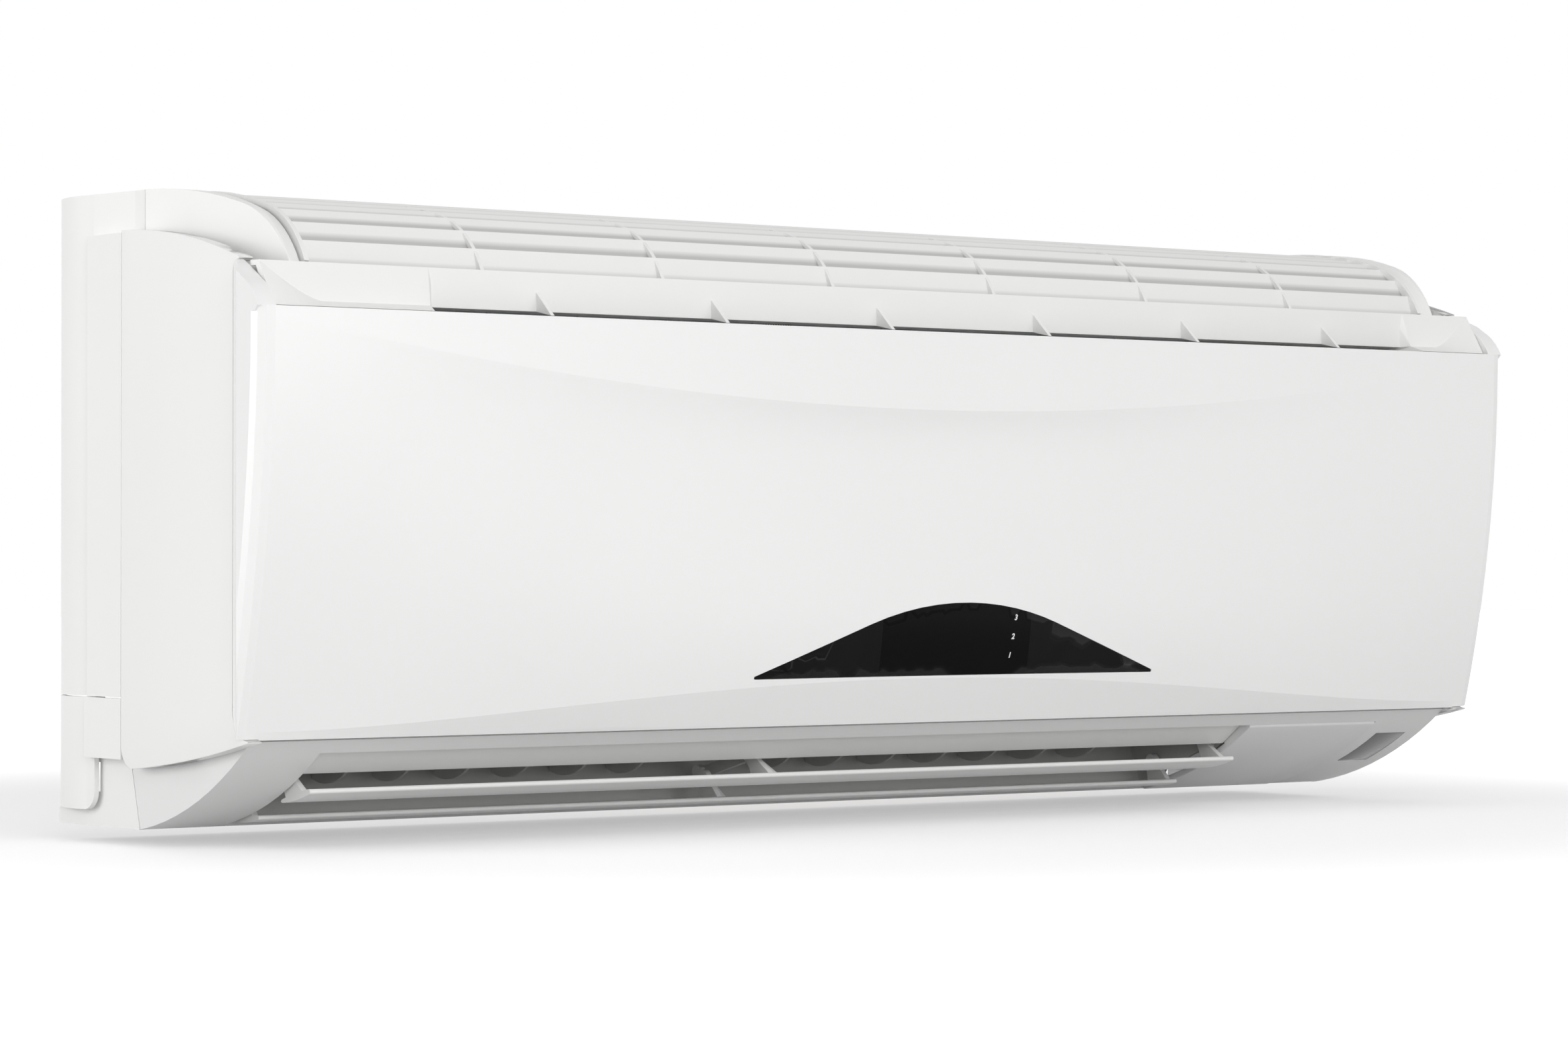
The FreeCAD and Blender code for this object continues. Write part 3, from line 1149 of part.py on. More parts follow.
def lower_casing():
    face = prism(ribbon(face_path(), WALL), -BODY_HALF, BODY_HALF)
    right = OUTLET_RIGHT + CONTROL_WIDTH + 2 * FIT
    outlet = block(OUTLET_LEFT, right, OUTLET_FOOT_DEPTH, OUTLET_TOP_DEPTH, -HEIGHT, FACE_TOP + WALL)
    cheek = face_path() + [(CROWN_DEPTH + SEAM, FACE_TOP), (LOW_SEAM_DEPTH + SEAM, LOW_SEAM_HEIGHT)]
    cheek.append((FLOOR_DEPTH + SEAM, FACE_FOOT))
    x = BODY_HALF - RECEIVER_LEFT_MARGIN
    lens = block(x, x + RECEIVER_WIDTH, RECEIVER_FOOT_DEPTH, RECEIVER_TOP_DEPTH, -HEIGHT, FACE_TOP + WALL)
    body = joined([face] + both_ends(prism(cheek, INNER_HALF, BODY_HALF)))
    return body.cut(Part.makeCompound([outlet, lens]))


def face_piece(x0, x1, d0, d1, proud):
    """A piece of the lower casing's curved face between two depths, standing proud of it."""
    path = moved_left(face_path(), -proud)
    return prism(ribbon(path, WALL + proud), x0, x1).common(block(x0, x1, d0, d1, -HEIGHT, HEIGHT))


def control_cover():
    """Cover under the control box, with a wall that closes the outlet's right end."""
    x = OUTLET_RIGHT + FIT
    front = OUTLET_TOP_DEPTH - FIT
    cover = face_piece(x, x + CONTROL_WIDTH, OUTLET_FOOT_DEPTH + FIT, front, CONTROL_PROUD)
    wall = prism(ribbon(face_path(), CONTROL_RETURN), x, x + WALL)
    return joined([cover, wall.common(block(x, x + WALL, PAN_KEEL_DEPTH + FIT, front, -HEIGHT, HEIGHT))])


def receiver_window():
    x = BODY_HALF - RECEIVER_LEFT_MARGIN
    foot, top = RECEIVER_FOOT_DEPTH + FIT, RECEIVER_TOP_DEPTH - FIT
    return face_piece(x + FIT, x + RECEIVER_WIDTH - FIT, foot, top, 0.0)


def filter_path():
    """Filter's line: up in front of the front fin pack, then over the top of the coil."""
    front = slab(FRONT_PACK_FOOT, FRONT_PACK_TOP, FIN_PACK + 2 * FILTER_GAP)
    foot, knee = front[3], front[2]
    top = HEIGHT - FILTER_TOP_DROP
    path = [(foot[0], foot[1] + FILTER_GAP), along(knee, foot, FILTER_GAP)]
    return path + [(FRONT_PACK_TOP[0], top, -FILTER_BOW), (FILTER_REAR_DEPTH, top)]


def air_filter(x0, x1):
    """Filter frame with a grid of ribs on a thin net."""
    path = filter_path()
    frame = prism(ribbon(path, FILTER), x0, x1)
    pane = (x1 - x0 - 2 * FILTER_BORDER - (FILTER_COLUMNS - 1) * FILTER_RIB) / FILTER_COLUMNS
    low, high = path[0], path[1]
    length = math.dist(low, high)
    tall = (length - 2 * FILTER_BORDER - (FILTER_ROWS - 1) * FILTER_RIB) / FILTER_ROWS
    pockets = []
    for row in range(FILTER_ROWS):
        a = along(low, high, FILTER_BORDER + row * (tall + FILTER_RIB))
        b = along(low, high, FILTER_BORDER + row * (tall + FILTER_RIB) + tall)
        for column in range(FILTER_COLUMNS):
            x = x0 + FILTER_BORDER + column * (pane + FILTER_RIB)
            pockets.append(prism(ribbon([a, b], FILTER_POCKET), x, x + pane))
    return frame.cut(Part.makeCompound(pockets))


def box_bounds():
    return OUTLET_RIGHT + BOX_LEFT_GAP, INNER_HALF, BOX_FOOT, HEIGHT - BOX_TOP_DROP


def control_box():
    x0, x1, h0, h1 = box_bounds()
    w = BOX_WALL
    outer = block(x0, x1, BOX_DEPTH, BOX_FRONT_DEPTH, h0, h1)
    return outer.cut(block(x0 + w, x1 - w, BOX_DEPTH + w, BOX_FRONT_DEPTH, h0 + w, h1 - w))


def control_box_cover():
    x0, x1, h0, h1 = box_bounds()
    lid = block(x0, x1, BOX_FRONT_DEPTH, BOX_FRONT_DEPTH + BOX_WALL, h0, h1)
    return lid.cut(peg(BUTTON_X, BUTTON_HEIGHT, BOX_FRONT_DEPTH, BOX_FRONT_DEPTH + BOX_WALL, BUTTON_R + RUN))


def run_button():
    back = BOX_FRONT_DEPTH - FIT - BUTTON_FLANGE
    face = BOX_FRONT_DEPTH + BOX_WALL + BUTTON_PROUD
    stem = peg(BUTTON_X, BUTTON_HEIGHT, back, face, BUTTON_R)
    return joined([stem, peg(BUTTON_X, BUTTON_HEIGHT, back, back + BUTTON_FLANGE, BUTTON_FLANGE_R)])


def control_board():
    """Circuit board on the box's back, with its transformer, capacitor and relays."""
    x0, x1, h0, h1 = box_bounds()
    w, back, gap = BOX_WALL, BOX_DEPTH + BOX_WALL, BOARD_SPACING
    front, core_top = back + BOARD, h1 - gap
    parts = [block(x0 + 2 * w, x1 - 2 * w, back, front, h0 + 2 * w, h1 - 2 * w)]
    left = x0 + gap
    parts.append(block(left, left + COIL_CORE, front, front + COIL_CORE_TALL, core_top - COIL_CORE, core_top))
    left += COIL_CORE + gap
    middle_line = (front + CAPACITOR_R - FIT, core_top - CAPACITOR_R)
    parts.append(rod(left, left + CAPACITOR_LENGTH, middle_line, CAPACITOR_R))
    relay_top = core_top - COIL_CORE - gap
    for i in range(RELAYS):
        x = x0 + gap + i * (RELAY + RELAY_SPACING)
        parts.append(block(x, x + RELAY, front, front + RELAY_TALL, relay_top - RELAY, relay_top))
    return joined(parts)


def terminal_block():
    x0, x1, h0, h1 = box_bounds()
    left, front = x1 - BOX_WALL - TERMINAL_WIDTH, BOX_FRONT_DEPTH - WALL
    foot = h0 - TERMINAL_HEIGHT
    body = block(left, left + TERMINAL_WIDTH, front - TERMINAL_DEPTH, front, foot, h0)
    pitch = TERMINAL_WIDTH / TERMINAL_WAYS
    web, middle_depth = TERMINAL_WEB / 2, front - TERMINAL_DEPTH / 2
    cells = []
    for i in range(TERMINAL_WAYS):
        x = left + i * pitch
        cells.append(block(x + web, x + pitch - web, middle_depth, front, foot, h0 - TERMINAL_SILL))
    return body.cut(Part.makeCompound(cells))


def display_board():
    """Indicator board behind the window, on the casing's mullion."""
    low = WINDOW_FOOT + DISPLAY_LIFT
    depth = frame_depth(low + DISPLAY_HEIGHT)
    left = OUTLET_MIDDLE - MULLION / 2
    board = block(left, left + DISPLAY_WIDTH, depth, depth + BOARD, low, low + DISPLAY_HEIGHT)
    x = WINDOW_X + DIODE_X
    diodes = []
    for i in range(DISPLAY_DIODES):
        h = low + DISPLAY_LIFT + i * DIODE_PITCH
        diodes.append(block(x, x + DIODE, depth, depth + 3 * BOARD, h, h + DIODE))
    return joined([board] + diodes)


def vane_frame(front, tilt, chord):
    """Places a vane's own coordinates, from its rear edge forward and up, in depth and height."""
    c, s = math.cos(math.radians(tilt)), math.sin(math.radians(tilt))
    rear = (front[0] - chord * c, front[1] - chord * s)
    return lambda u, v: (rear[0] + u * c - v * s, rear[1] + u * s + v * c)


def vane_section(chord):
    """A vane's section in its own coordinates: thin tail, slight camber, blunt nose."""
    waist = chord - VANE_EDGE
    under = [(0, VANE_TAIL), (VANE_EDGE, 0), (waist, 0, -VANE_CAMBER), (chord, VANE / 2, -VANE_NOSE_BOW)]
    return under + [(waist, VANE, -VANE_NOSE_BOW), (VANE_EDGE, VANE_BACK, -VANE_CAMBER / 2)]


def vane(front, tilt, chord, pivot):
    """Horizontal vane with end arms on pins, and a crank for the link."""
    left, right = OUTLET_LEFT + VANE_END_GAP, OUTLET_RIGHT - VANE_END_GAP
    place = vane_frame(front, tilt, chord)
    outline = [place(p[0], p[1]) + tuple(p[2:]) for p in vane_section(chord)]
    pieces = [prism(outline, left, right)]
    boss = VANE_PIN_R + VANE_BOSS
    root = [place(chord / 2 + side * VANE_ARM_ROOT / 2, VANE_BACK / 2) for side in (-1, 1)]
    arm = root + [(pivot[0] + boss, pivot[1]), (pivot[0] - boss, pivot[1], -boss)]
    for x in (left, right - VANE_ARM, CRANK_X - 2 * VANE_ARM):
        pieces.append(prism(arm, x, x + VANE_ARM))
    pieces.append(rod(OUTLET_LEFT - WALL, left + VANE_ARM, pivot, VANE_PIN_R))
    pieces.append(rod(right - VANE_ARM, OUTLET_RIGHT + WALL, pivot, VANE_PIN_R))
    pin = (pivot[0] + CRANK[0], pivot[1] + CRANK[1])
    crank = root + [(pin[0] + boss, pin[1]), (pin[0] - boss, pin[1], -boss)]
    pieces.append(prism(crank, CRANK_X - VANE_ARM, CRANK_X))
    pieces.append(rod(CRANK_X - VANE_ARM, CRANK_X + FIT + LINK, pin, LINK_PIN_R))
    return joined(pieces)


def vane_link():
    """Bar that ties the two vanes' cranks together."""
    a = (UPPER_PIVOT[0] + CRANK[0], UPPER_PIVOT[1] + CRANK[1])
    b = (LOWER_PIVOT[0] + CRANK[0], LOWER_PIVOT[1] + CRANK[1])
    x0, x1 = CRANK_X + FIT, CRANK_X + FIT + LINK
    bar = prism(slab(b, a, LINK_WIDTH), x0, x1)
    eyes = [rod(x0, x1, p, LINK_HALF) for p in (a, b)]
    holes = [rod(x0, x1, a, LINK_PIN_R + RUN), rod(x0, x1, b, LINK_PIN_R + 2 * RUN)]
    return joined([bar] + eyes).cut(Part.makeCompound(holes))


def vane_motor():
    """Stepping motor on the outlet's right bulkhead, with its plug housing on top."""
    centre = (UPPER_PIVOT[0] + VANE_MOTOR_OFFSET[0], UPPER_PIVOT[1] + VANE_MOTOR_OFFSET[1])
    x, half = OUTLET_RIGHT + WALL, VANE_PLUG_WIDTH / 2
    body = rod(x, x + VANE_MOTOR_LENGTH, centre, VANE_MOTOR_R)
    top = centre[1] + VANE_MOTOR_R + VANE_PLUG_RISE
    plug = block(x, x + VANE_PLUG_LENGTH, centre[0] - half, centre[0] + half, centre[1], top)
    return joined([body, plug])


def flow_axes():
    """Deflector pivot on the scroll's floor, the way along the floor, and the way off it."""
    top, foot = scroll_path()[1], (SCROLL_FOOT_DEPTH, SCROLL_FOOT)
    length = math.dist(top[:2], foot)
    s = (foot[0] - top[0]) / length, (foot[1] - top[1]) / length
    pivot = foot[0] - s[0] * BLADE_FROM_FOOT, foot[1] - s[1] * BLADE_FROM_FOOT
    return pivot, s, (-s[1], s[0])


def flow_place(u, v):
    """Depth and height of a point u along the floor and v off it, from the deflectors' pivot."""
    pivot, s, n = flow_axes()
    return pivot[0] + u * s[0] + v * n[0], pivot[1] + u * s[1] + v * n[1]


def flow_rod(x, u, v0, v1, r):
    """Cylinder square to the scroll's floor."""
    n = flow_axes()[2]
    return Part.makeCylinder(r, v1 - v0, at(x, *flow_place(u, v0)), Vector(0, -n[0], n[1]))


def blade_places(count, group):
    if group:
        first, last = OUTLET_MIDDLE + RIGHT_CLEAR, OUTLET_RIGHT - BLADE_MARGIN
    else:
        first, last = OUTLET_LEFT + BLADE_MARGIN, OUTLET_MIDDLE - LEFT_CLEAR
    return [first + i * (last - first) / (count - 1) for i in range(count)]


def deflector_blade(x):
    """Upright blade with a stem in the scroll's floor and a pin for the tie bar."""
    low, high = BLADE_LIFT, BLADE_TALL
    outline = [(-BLADE_UP, low), (BLADE_DOWN, low), (BLADE_DOWN, high, BLADE_BOW), (-BLADE_UP, high)]
    outline += [(-BLADE_UP, NOTCH_TO), (NOTCH_DEEP - BLADE_UP, NOTCH_TO), (NOTCH_DEEP - BLADE_UP, NOTCH_FROM)]
    outline.append((-BLADE_UP, NOTCH_FROM))
    outline = [flow_place(p[0], p[1]) + tuple(-b for b in p[2:]) for p in outline]
    sheet = prism(outline, x - BLADE / 2, x + BLADE / 2)
    pin = flow_rod(x, -TIE_ARM, NOTCH_FROM - TIE_PIN_ROOT, NOTCH_TO + TIE_PIN_ROOT, TIE_PIN_R)
    stem = flow_rod(x, 0, -WALL, low + STEM_ROOT, STEM_R)
    return joined([sheet, pin, stem])


def tie_bar(places):
    """Flat bar across a group of blades, with a slot for each blade's pin."""
    mid = (NOTCH_FROM + NOTCH_TO) / 2
    half = TIE_WIDTH / 2
    outline = [(-TIE_ARM - half, mid - TIE / 2), (-TIE_ARM + half, mid - TIE / 2)]
    outline += [(-TIE_ARM + half, mid + TIE / 2), (-TIE_ARM - half, mid + TIE / 2)]
    bar = prism([flow_place(*p) for p in outline], places[0] - TIE_OVERHANG, places[-1] + TIE_OVERHANG)
    side = TIE_PIN_R + TIE_SLOT_SLACK
    slot = [(-TIE_ARM - side, mid - TIE), (-TIE_ARM + side + TIE_SLOT_TRAVEL, mid - TIE)]
    slot += [(-TIE_ARM + side + TIE_SLOT_TRAVEL, mid + TIE), (-TIE_ARM - side, mid + TIE)]
    slot = [flow_place(*p) for p in slot]
    return bar.cut(Part.makeCompound([prism(slot, x - side, x + side) for x in places]))


def main():
    os.makedirs("parts", exist_ok=True)
    save("mounting_plate", mounting_plate())
    save("rear_chassis", rear_chassis())
    right_knockout = knockout()
    save("pipe_knockout_right", right_knockout)
    save("pipe_knockout_left", mirrored(right_knockout))

    save("fan_housing", fan_housing())
    save("cross_flow_fan", cross_flow_fan())
    save("fan_stub_shaft", fan_stub())
    save("fan_hub", fan_hub())
    save("motor_shaft", motor_shaft())
    save("fan_motor", fan_motor())
    save("motor_saddle", motor_saddle())
    save("motor_clamp", *motor_clamp())
    save("bearing_mount", bearing_mount())
    save("fan_bearing", fan_bearing())

    save("drain_pan", drain_pan())
    save("front_fin_pack", prism(slab(FRONT_PACK_FOOT, FRONT_PACK_TOP, FIN_PACK), PACK_LEFT, PACK_RIGHT))
    save("rear_fin_pack", prism(slab(REAR_PACK_FOOT, REAR_PACK_TOP, FIN_PACK), PACK_LEFT, PACK_RIGHT))
    save("coil_end_plates", *end_plates())
    save("coil_bends", *coil_bends())
    inlet = tube_place(REAR_PACK_FOOT, REAR_PACK_TOP, 0)
    save("supply_pipe", water_pipe(inlet, OUTLET_RIGHT + SUPPLY_DROP, SUPPLY_HEIGHT, SUPPLY_END_X))
    outlet = tube_place(REAR_PACK_FOOT, REAR_PACK_TOP, 3)
    save("return_pipe", water_pipe(outlet, OUTLET_RIGHT + RETURN_DROP, RETURN_HEIGHT, RETURN_END_X))
    save("pipe_unions", pipe_union(SUPPLY_END_X, SUPPLY_HEIGHT), pipe_union(RETURN_END_X, RETURN_HEIGHT))

    save("front_casing", front_casing())
    save("upper_casing", upper_casing())
    save("top_grille", top_grille())
    save("lower_casing", lower_casing())
    save("control_cover", control_cover())
    save("receiver_window", receiver_window())
    right_cover = side_cover()
    save("side_cover_right", right_cover)
    save("side_cover_left", mirrored(right_cover))
    save("air_filter_left", air_filter(PACK_LEFT, OUTLET_MIDDLE - MULLION / 2))
    save("air_filter_right", air_filter(OUTLET_MIDDLE + MULLION / 2, PACK_RIGHT))

    save("control_box", control_box())
    save("control_box_cover", control_box_cover())
    save("control_board", control_board())
    save("terminal_block", terminal_block())
    save("run_button", run_button())

    skin = panel_skin()
    opening = window_face()
    forward = Vector(0, -PANEL_TOP_DEPTH, 0)
    save("front_panel", skin.cut(opening.extrude(forward)))
    save("display_window", skin.common(opening.makeOffset2D(-FIT).extrude(forward)))
    save("display_board", display_board())

    save("upper_vane", vane(UPPER_FRONT, UPPER_TILT, UPPER_CHORD, UPPER_PIVOT))
    save("lower_vane", vane(LOWER_FRONT, LOWER_TILT, LOWER_CHORD, LOWER_PIVOT))
    save("vane_link", vane_link())
    save("vane_motor", vane_motor())

    for side, count, group in (("left", LEFT_BLADES, 0), ("right", RIGHT_BLADES, 1)):
        places = blade_places(count, group)
        for i, x in enumerate(places):
            save("deflector_%s_%d" % (side, i + 1), deflector_blade(x))
        save("tie_bar_%s" % side, tie_bar(places))


main()
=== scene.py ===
import json
import math

import bmesh
import bpy
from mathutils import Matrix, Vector

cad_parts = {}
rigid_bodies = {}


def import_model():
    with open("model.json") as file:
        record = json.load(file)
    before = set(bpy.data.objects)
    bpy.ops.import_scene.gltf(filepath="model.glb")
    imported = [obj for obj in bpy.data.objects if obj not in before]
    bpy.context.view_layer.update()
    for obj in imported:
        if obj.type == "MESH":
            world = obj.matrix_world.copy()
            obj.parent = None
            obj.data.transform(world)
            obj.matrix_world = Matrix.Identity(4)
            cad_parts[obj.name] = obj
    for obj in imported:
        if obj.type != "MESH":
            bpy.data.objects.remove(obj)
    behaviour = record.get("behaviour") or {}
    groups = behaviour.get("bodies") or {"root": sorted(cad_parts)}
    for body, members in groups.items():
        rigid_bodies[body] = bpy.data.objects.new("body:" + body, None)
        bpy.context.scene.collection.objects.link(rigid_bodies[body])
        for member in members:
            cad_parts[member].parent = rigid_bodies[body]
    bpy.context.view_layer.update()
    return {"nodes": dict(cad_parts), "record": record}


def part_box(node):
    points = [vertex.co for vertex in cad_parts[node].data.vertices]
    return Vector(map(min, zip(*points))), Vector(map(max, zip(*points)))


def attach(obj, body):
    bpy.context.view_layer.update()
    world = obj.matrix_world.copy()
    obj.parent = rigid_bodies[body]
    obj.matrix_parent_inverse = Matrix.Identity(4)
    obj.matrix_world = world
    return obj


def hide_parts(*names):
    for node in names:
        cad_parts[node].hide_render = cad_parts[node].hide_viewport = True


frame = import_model()
record = frame["record"]
slots = {part["node"]: part["material_slot"] for part in record["subparts"]}
body_of = {node: body for body, nodes in record["behaviour"]["bodies"].items() for node in nodes}

MM = 0.001
chassis_low, chassis_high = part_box("rear_chassis")
casing_low, casing_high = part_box("upper_casing")
grille_low, grille_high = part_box("top_grille")
pane_low, pane_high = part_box("display_window")

# Plastics and metals
PLASTIC_IOR = 1.46
CLOUD_SCALE, CLOUD_SHADE = 7.0, 0.012
GLOSS_SPREAD = 0.08
GRAIN_SCALE, GRAIN_DEPTH = 1400.0, 0.2 * MM
STREAK_SCALE, STREAK_STRETCH = 8.0, (2.0, 60.0, 60.0)
STREAK_SHADE, STREAK_SPREAD = 0.85, 0.2

# Fin sheets and filter threads: the share of the pitch that is solid, and the share of the colour
# that the gaps and holes keep as painted shade for the dark seen between them
FIN_PITCH, FIN_SHARE = 1.6 * MM, 0.45
FIN_CLOUD, FIN_DULL, FIN_GAP_PAINTED_SHADE = 30.0, 0.9, 0.25
FIN_METALLIC, FIN_ROUGH, FIN_SPREAD = 0.9, 0.35, 0.2
FIN_BUMP, FIN_RELIEF = 0.6, 0.5 * MM
NET_PITCH, NET_SHARE = 1.4 * MM, 0.4
NET_ROUGH, NET_HOLE_PAINTED_SHADE = 0.75, 0.55
NET_BUMP, NET_RELIEF = 0.5, 0.3 * MM

# Grille: arcs of the crown and the nose, with their centres as depth and height. Painted shade
# darkens a slat fully below its arc by SLAT_EDGE and a share of SLAT_SINK that grows with the fall
# of the arc.
CROWN_RADIUS, NOSE_RADIUS = 250.0 * MM, 52.9 * MM
CROWN_CENTRE = (chassis_low.y, chassis_high.z - CROWN_RADIUS)
NOSE_CENTRE = (grille_low.y + 47.6 * MM, grille_high.z - 60.5 * MM)
NOSE_START = grille_low.y + 34.0 * MM
SLAT_EDGE, SLAT_SINK = 1.0 * MM, 4.8 * MM
SLAT_LEAN = 0.364               # fall of the arc at which the share is one half
LEAST_FALL = 0.08
SLAT_LINE = 0.9 * MM            # the painted shade builds up over this depth
# share of the grille colour that the painted shade between slats keeps
SLAT_PAINTED_SHADE = 0.62

# Display window: dark field, and numbers with their way in from the right end and up from the foot
DISPLAY_LEFT, DISPLAY_RIGHT = pane_low.x + 77.0 * MM, pane_high.x - 86.8 * MM
PANE_ROUGH, PANE_IOR, PANE_SPECULAR = 0.06, 1.5, 0.06
PANE_HAZE = 40.0
PANE_SIDES = (0.005, 0.005, 0.0055), (0.009, 0.009, 0.0095)
PANE_FIELD = (0.002, 0.002, 0.002)
DIGITS = (
    ("3", 97.2 * MM, 28.7 * MM),
    ("2", 98.4 * MM, 19.1 * MM),
    ("1", 99.6 * MM, 9.6 * MM),
)
DIGIT_SIZE, DIGIT_PROUD = 3.9 * MM, 0.12 * MM
DIGIT_SLANT, DIGIT_WEIGHT = 0.2, 0.03

# Hollow above the air slit: its brow and foot as depth and height, and its two ends
COVE_BROW = (casing_low.y + 12.5 * MM, casing_high.z - 38.6 * MM)
COVE_FOOT = (casing_low.y + 18.0 * MM, casing_high.z - 57.0 * MM)
COVE_LEFT, COVE_RIGHT = casing_low.x + 86.3 * MM, casing_high.x - 46.3 * MM
COVE_BOW = 3.2 * MM
COVE_EDGE = 0.1 * MM

# Rear columns
COLUMN_DEPTH = 37.0 * MM
COLUMN_INNER = chassis_high.x - 20.5 * MM
COLUMN_FILL = 8.2 * MM          # widened by this much at the wall
WALL_EDGE = 0.5 * MM

# Rounded edges: width, steps, and the least fold in degrees that counts as an edge
COVER_ROUND = (2.2 * MM, 4, 30)
FITTING_ROUNDS = {
    "display_window": (1.0 * MM, 3, 30),
    "control_cover": (0.7 * MM, 2, 40),
    "receiver_window": (0.3 * MM, 2, 40),
}
OUTER_EDGE = 0.1 * MM
SAME_PLACE = 0.0001 * MM

# Floor, lamps and camera
FLOOR_SIZE, FLOOR_GAP = 16.0, 8 * MM
FLOOR_COLOUR, FLOOR_ROUGH = (0.64, 0.64, 0.64, 1.0), 0.95
FLOOR_LIFT = 0.42               # glow of the floor near the unit, which keeps the shadow pale
FADE_FROM, FADE_TO = 0.4, 1.1   # the floor turns white between these distances from its middle
AMBIENT = 0.45                  # strength of the surroundings as light
LAMPS = (                       # name, place, size, power
    ("key", (-1.2, -2.4, 0.8), 1.8, 27.5),
    ("front", (0.8, -3.2, 0.0), 1.6, 27.0),
    ("side", (-3.0, 0.9, 0.4), 1.8, 38.5),
    ("top", (0.0, -0.6, 2.4), 2.2, 2.0),
)
CAMERA_PLACE = (-1.463, -1.947, -0.025)
CAMERA_TURN = (math.radians(90.56), 0, math.radians(-38.0))
CAMERA_SENSOR, CAMERA_LENS = 36.0, 104.68


class Socket:
    """A shader value that can be used in sums, so that masks read like arithmetic."""

    def __init__(self, tree, out):
        self.tree, self.out = tree, out

    def _maths(self, operation, a, b):
        return self.tree.node("ShaderNodeMath", {"operation": operation}, {0: a, 1: b})

    def __add__(self, other):
        return self._maths("ADD", self, other)

    def __radd__(self, other):
        return self._maths("ADD", other, self)

    def __sub__(self, other):
        return self._maths("SUBTRACT", self, other)

    def __rsub__(self, other):
        return self._maths("SUBTRACT", other, self)

    def __mul__(self, other):
        return self._maths("MULTIPLY", self, other)

    def __rmul__(self, other):
        return self._maths("MULTIPLY", other, self)

    def __truediv__(self, other):
        return self._maths("DIVIDE", self, other)

    def __rtruediv__(self, other):
        return self._maths("DIVIDE", other, self)

    def __pow__(self, other):
        return self._maths("POWER", self, other)

    def __mod__(self, other):
        return self._maths("FLOORED_MODULO", self, other)

    def __gt__(self, other):
        return self._maths("GREATER_THAN", self, other)

    def __lt__(self, other):
        return self._maths("LESS_THAN", self, other)


class Tree:
    """A node tree with one way to add nodes and one to feed its shader."""

    def __init__(self, tree, shader):
        self.tree, self.shader = tree, tree.nodes[shader]

    def node(self, kind, settings=None, values=None, out=0):
        """Adds a node, sets it, feeds it numbers or sockets, and returns one of its outputs."""
        made = self.tree.nodes.new(kind)
        for key, value in (settings or {}).items():
            setattr(made, key, value)
        for key, value in (values or {}).items():
            if isinstance(value, Socket):
                self.tree.links.new(value.out, made.inputs[key])
            else:
                made.inputs[key].default_value = value
        return Socket(self, made.outputs[out])

    def feed(self, socket, value):
        """Links a value to an input of the shader."""
        self.tree.links.new(value.out, self.shader.inputs[socket])

    def set(self, **constants):
        """Sets inputs of the shader, with _ for the spaces in their names."""
        for socket, value in constants.items():
            self.shader.inputs[socket.replace("_", " ")].default_value = value

    def place(self, axis=None):
        """Object coordinates, or one of them."""
        where = self.node("ShaderNodeTexCoord", out="Object")
        return where if axis is None else self.node("ShaderNodeSeparateXYZ", {}, {0: where}, axis)

    def noise(self, where, scale, detail):
        values = {"Vector": where, "Scale": scale, "Detail": detail}
        return self.node("ShaderNodeTexNoise", {}, values, "Fac")

    def blend(self, factor, a, b):
        """A colour between two, each a socket or a plain colour."""
        ends = [c if isinstance(c, Socket) else tuple(c) + (1.0,) for c in (a, b)]
        values = {"Factor": factor, 6: ends[0], 7: ends[1]}
        return self.node("ShaderNodeMix", {"data_type": "RGBA"}, values, 2)

    def bump(self, height, strength, distance):
        values = {"Height": height, "Strength": strength, "Distance": distance}
        self.feed("Normal", self.node("ShaderNodeBump", {}, values))


def material(name):
    made = bpy.data.materials.new(name)
    made.use_nodes = True
    return made, Tree(made.node_tree, "Principled BSDF")


def shaded(colour, share):
    return tuple(min(1.0, c * share) for c in colour)


def clouded_plastic(name, colour, rough):
    """Plastic with uneven gloss, and its faintly cloudy tone, which is still to be fed."""
    made, tree = material(name)
    tree.set(IOR=PLASTIC_IOR)
    cloud = tree.noise(tree.place(), CLOUD_SCALE, 2.0)
    tone = tree.blend(cloud, shaded(colour, 1 - CLOUD_SHADE), shaded(colour, 1 + CLOUD_SHADE))
    tree.feed("Roughness", rough + GLOSS_SPREAD * (cloud - 0.5))
    return made, tree, tone


def moulding(name, colour, rough, grain=0.03):
    """Injection-moulded plastic with a fine spark grain."""
    made, tree, tone = clouded_plastic(name, colour, rough)
    tree.feed("Base Color", tone)
    if grain:
        tree.bump(tree.noise(tree.place(), GRAIN_SCALE, 1.0), grain, GRAIN_DEPTH)
    return made


def louvres(name, colour, rough):
    """Grille plastic with painted shade where each slat dips behind the next one."""
    made, tree, tone = clouded_plastic(name, colour, rough)
    y, z = tree.place("Y"), tree.place("Z")
    nose = y < NOSE_START
    centre = [crown + nose * (front - crown) for crown, front in zip(CROWN_CENTRE, NOSE_CENTRE)]
    radius = CROWN_RADIUS + nose * (NOSE_RADIUS - CROWN_RADIUS)
    ahead, above = centre[0] - y, z - centre[1]
    sunk = radius - (ahead * ahead + above * above) ** 0.5
    fall = tree.node("ShaderNodeMath", {"operation": "MAXIMUM"}, {0: ahead / above, 1: LEAST_FALL})
    hidden = SLAT_EDGE + SLAT_SINK * fall / (fall + SLAT_LEAN)
    # painted shade: the slat colour darkens as it sinks below its arc, where the next slat would
    # shade it
    painted_shade = tree.node("ShaderNodeMapRange", {},
                    {"Value": sunk - hidden, "From Min": -SLAT_LINE, "From Max": 0.0})
    tree.feed("Base Color", tree.blend(painted_shade, tone, shaded(colour, SLAT_PAINTED_SHADE)))
    return made


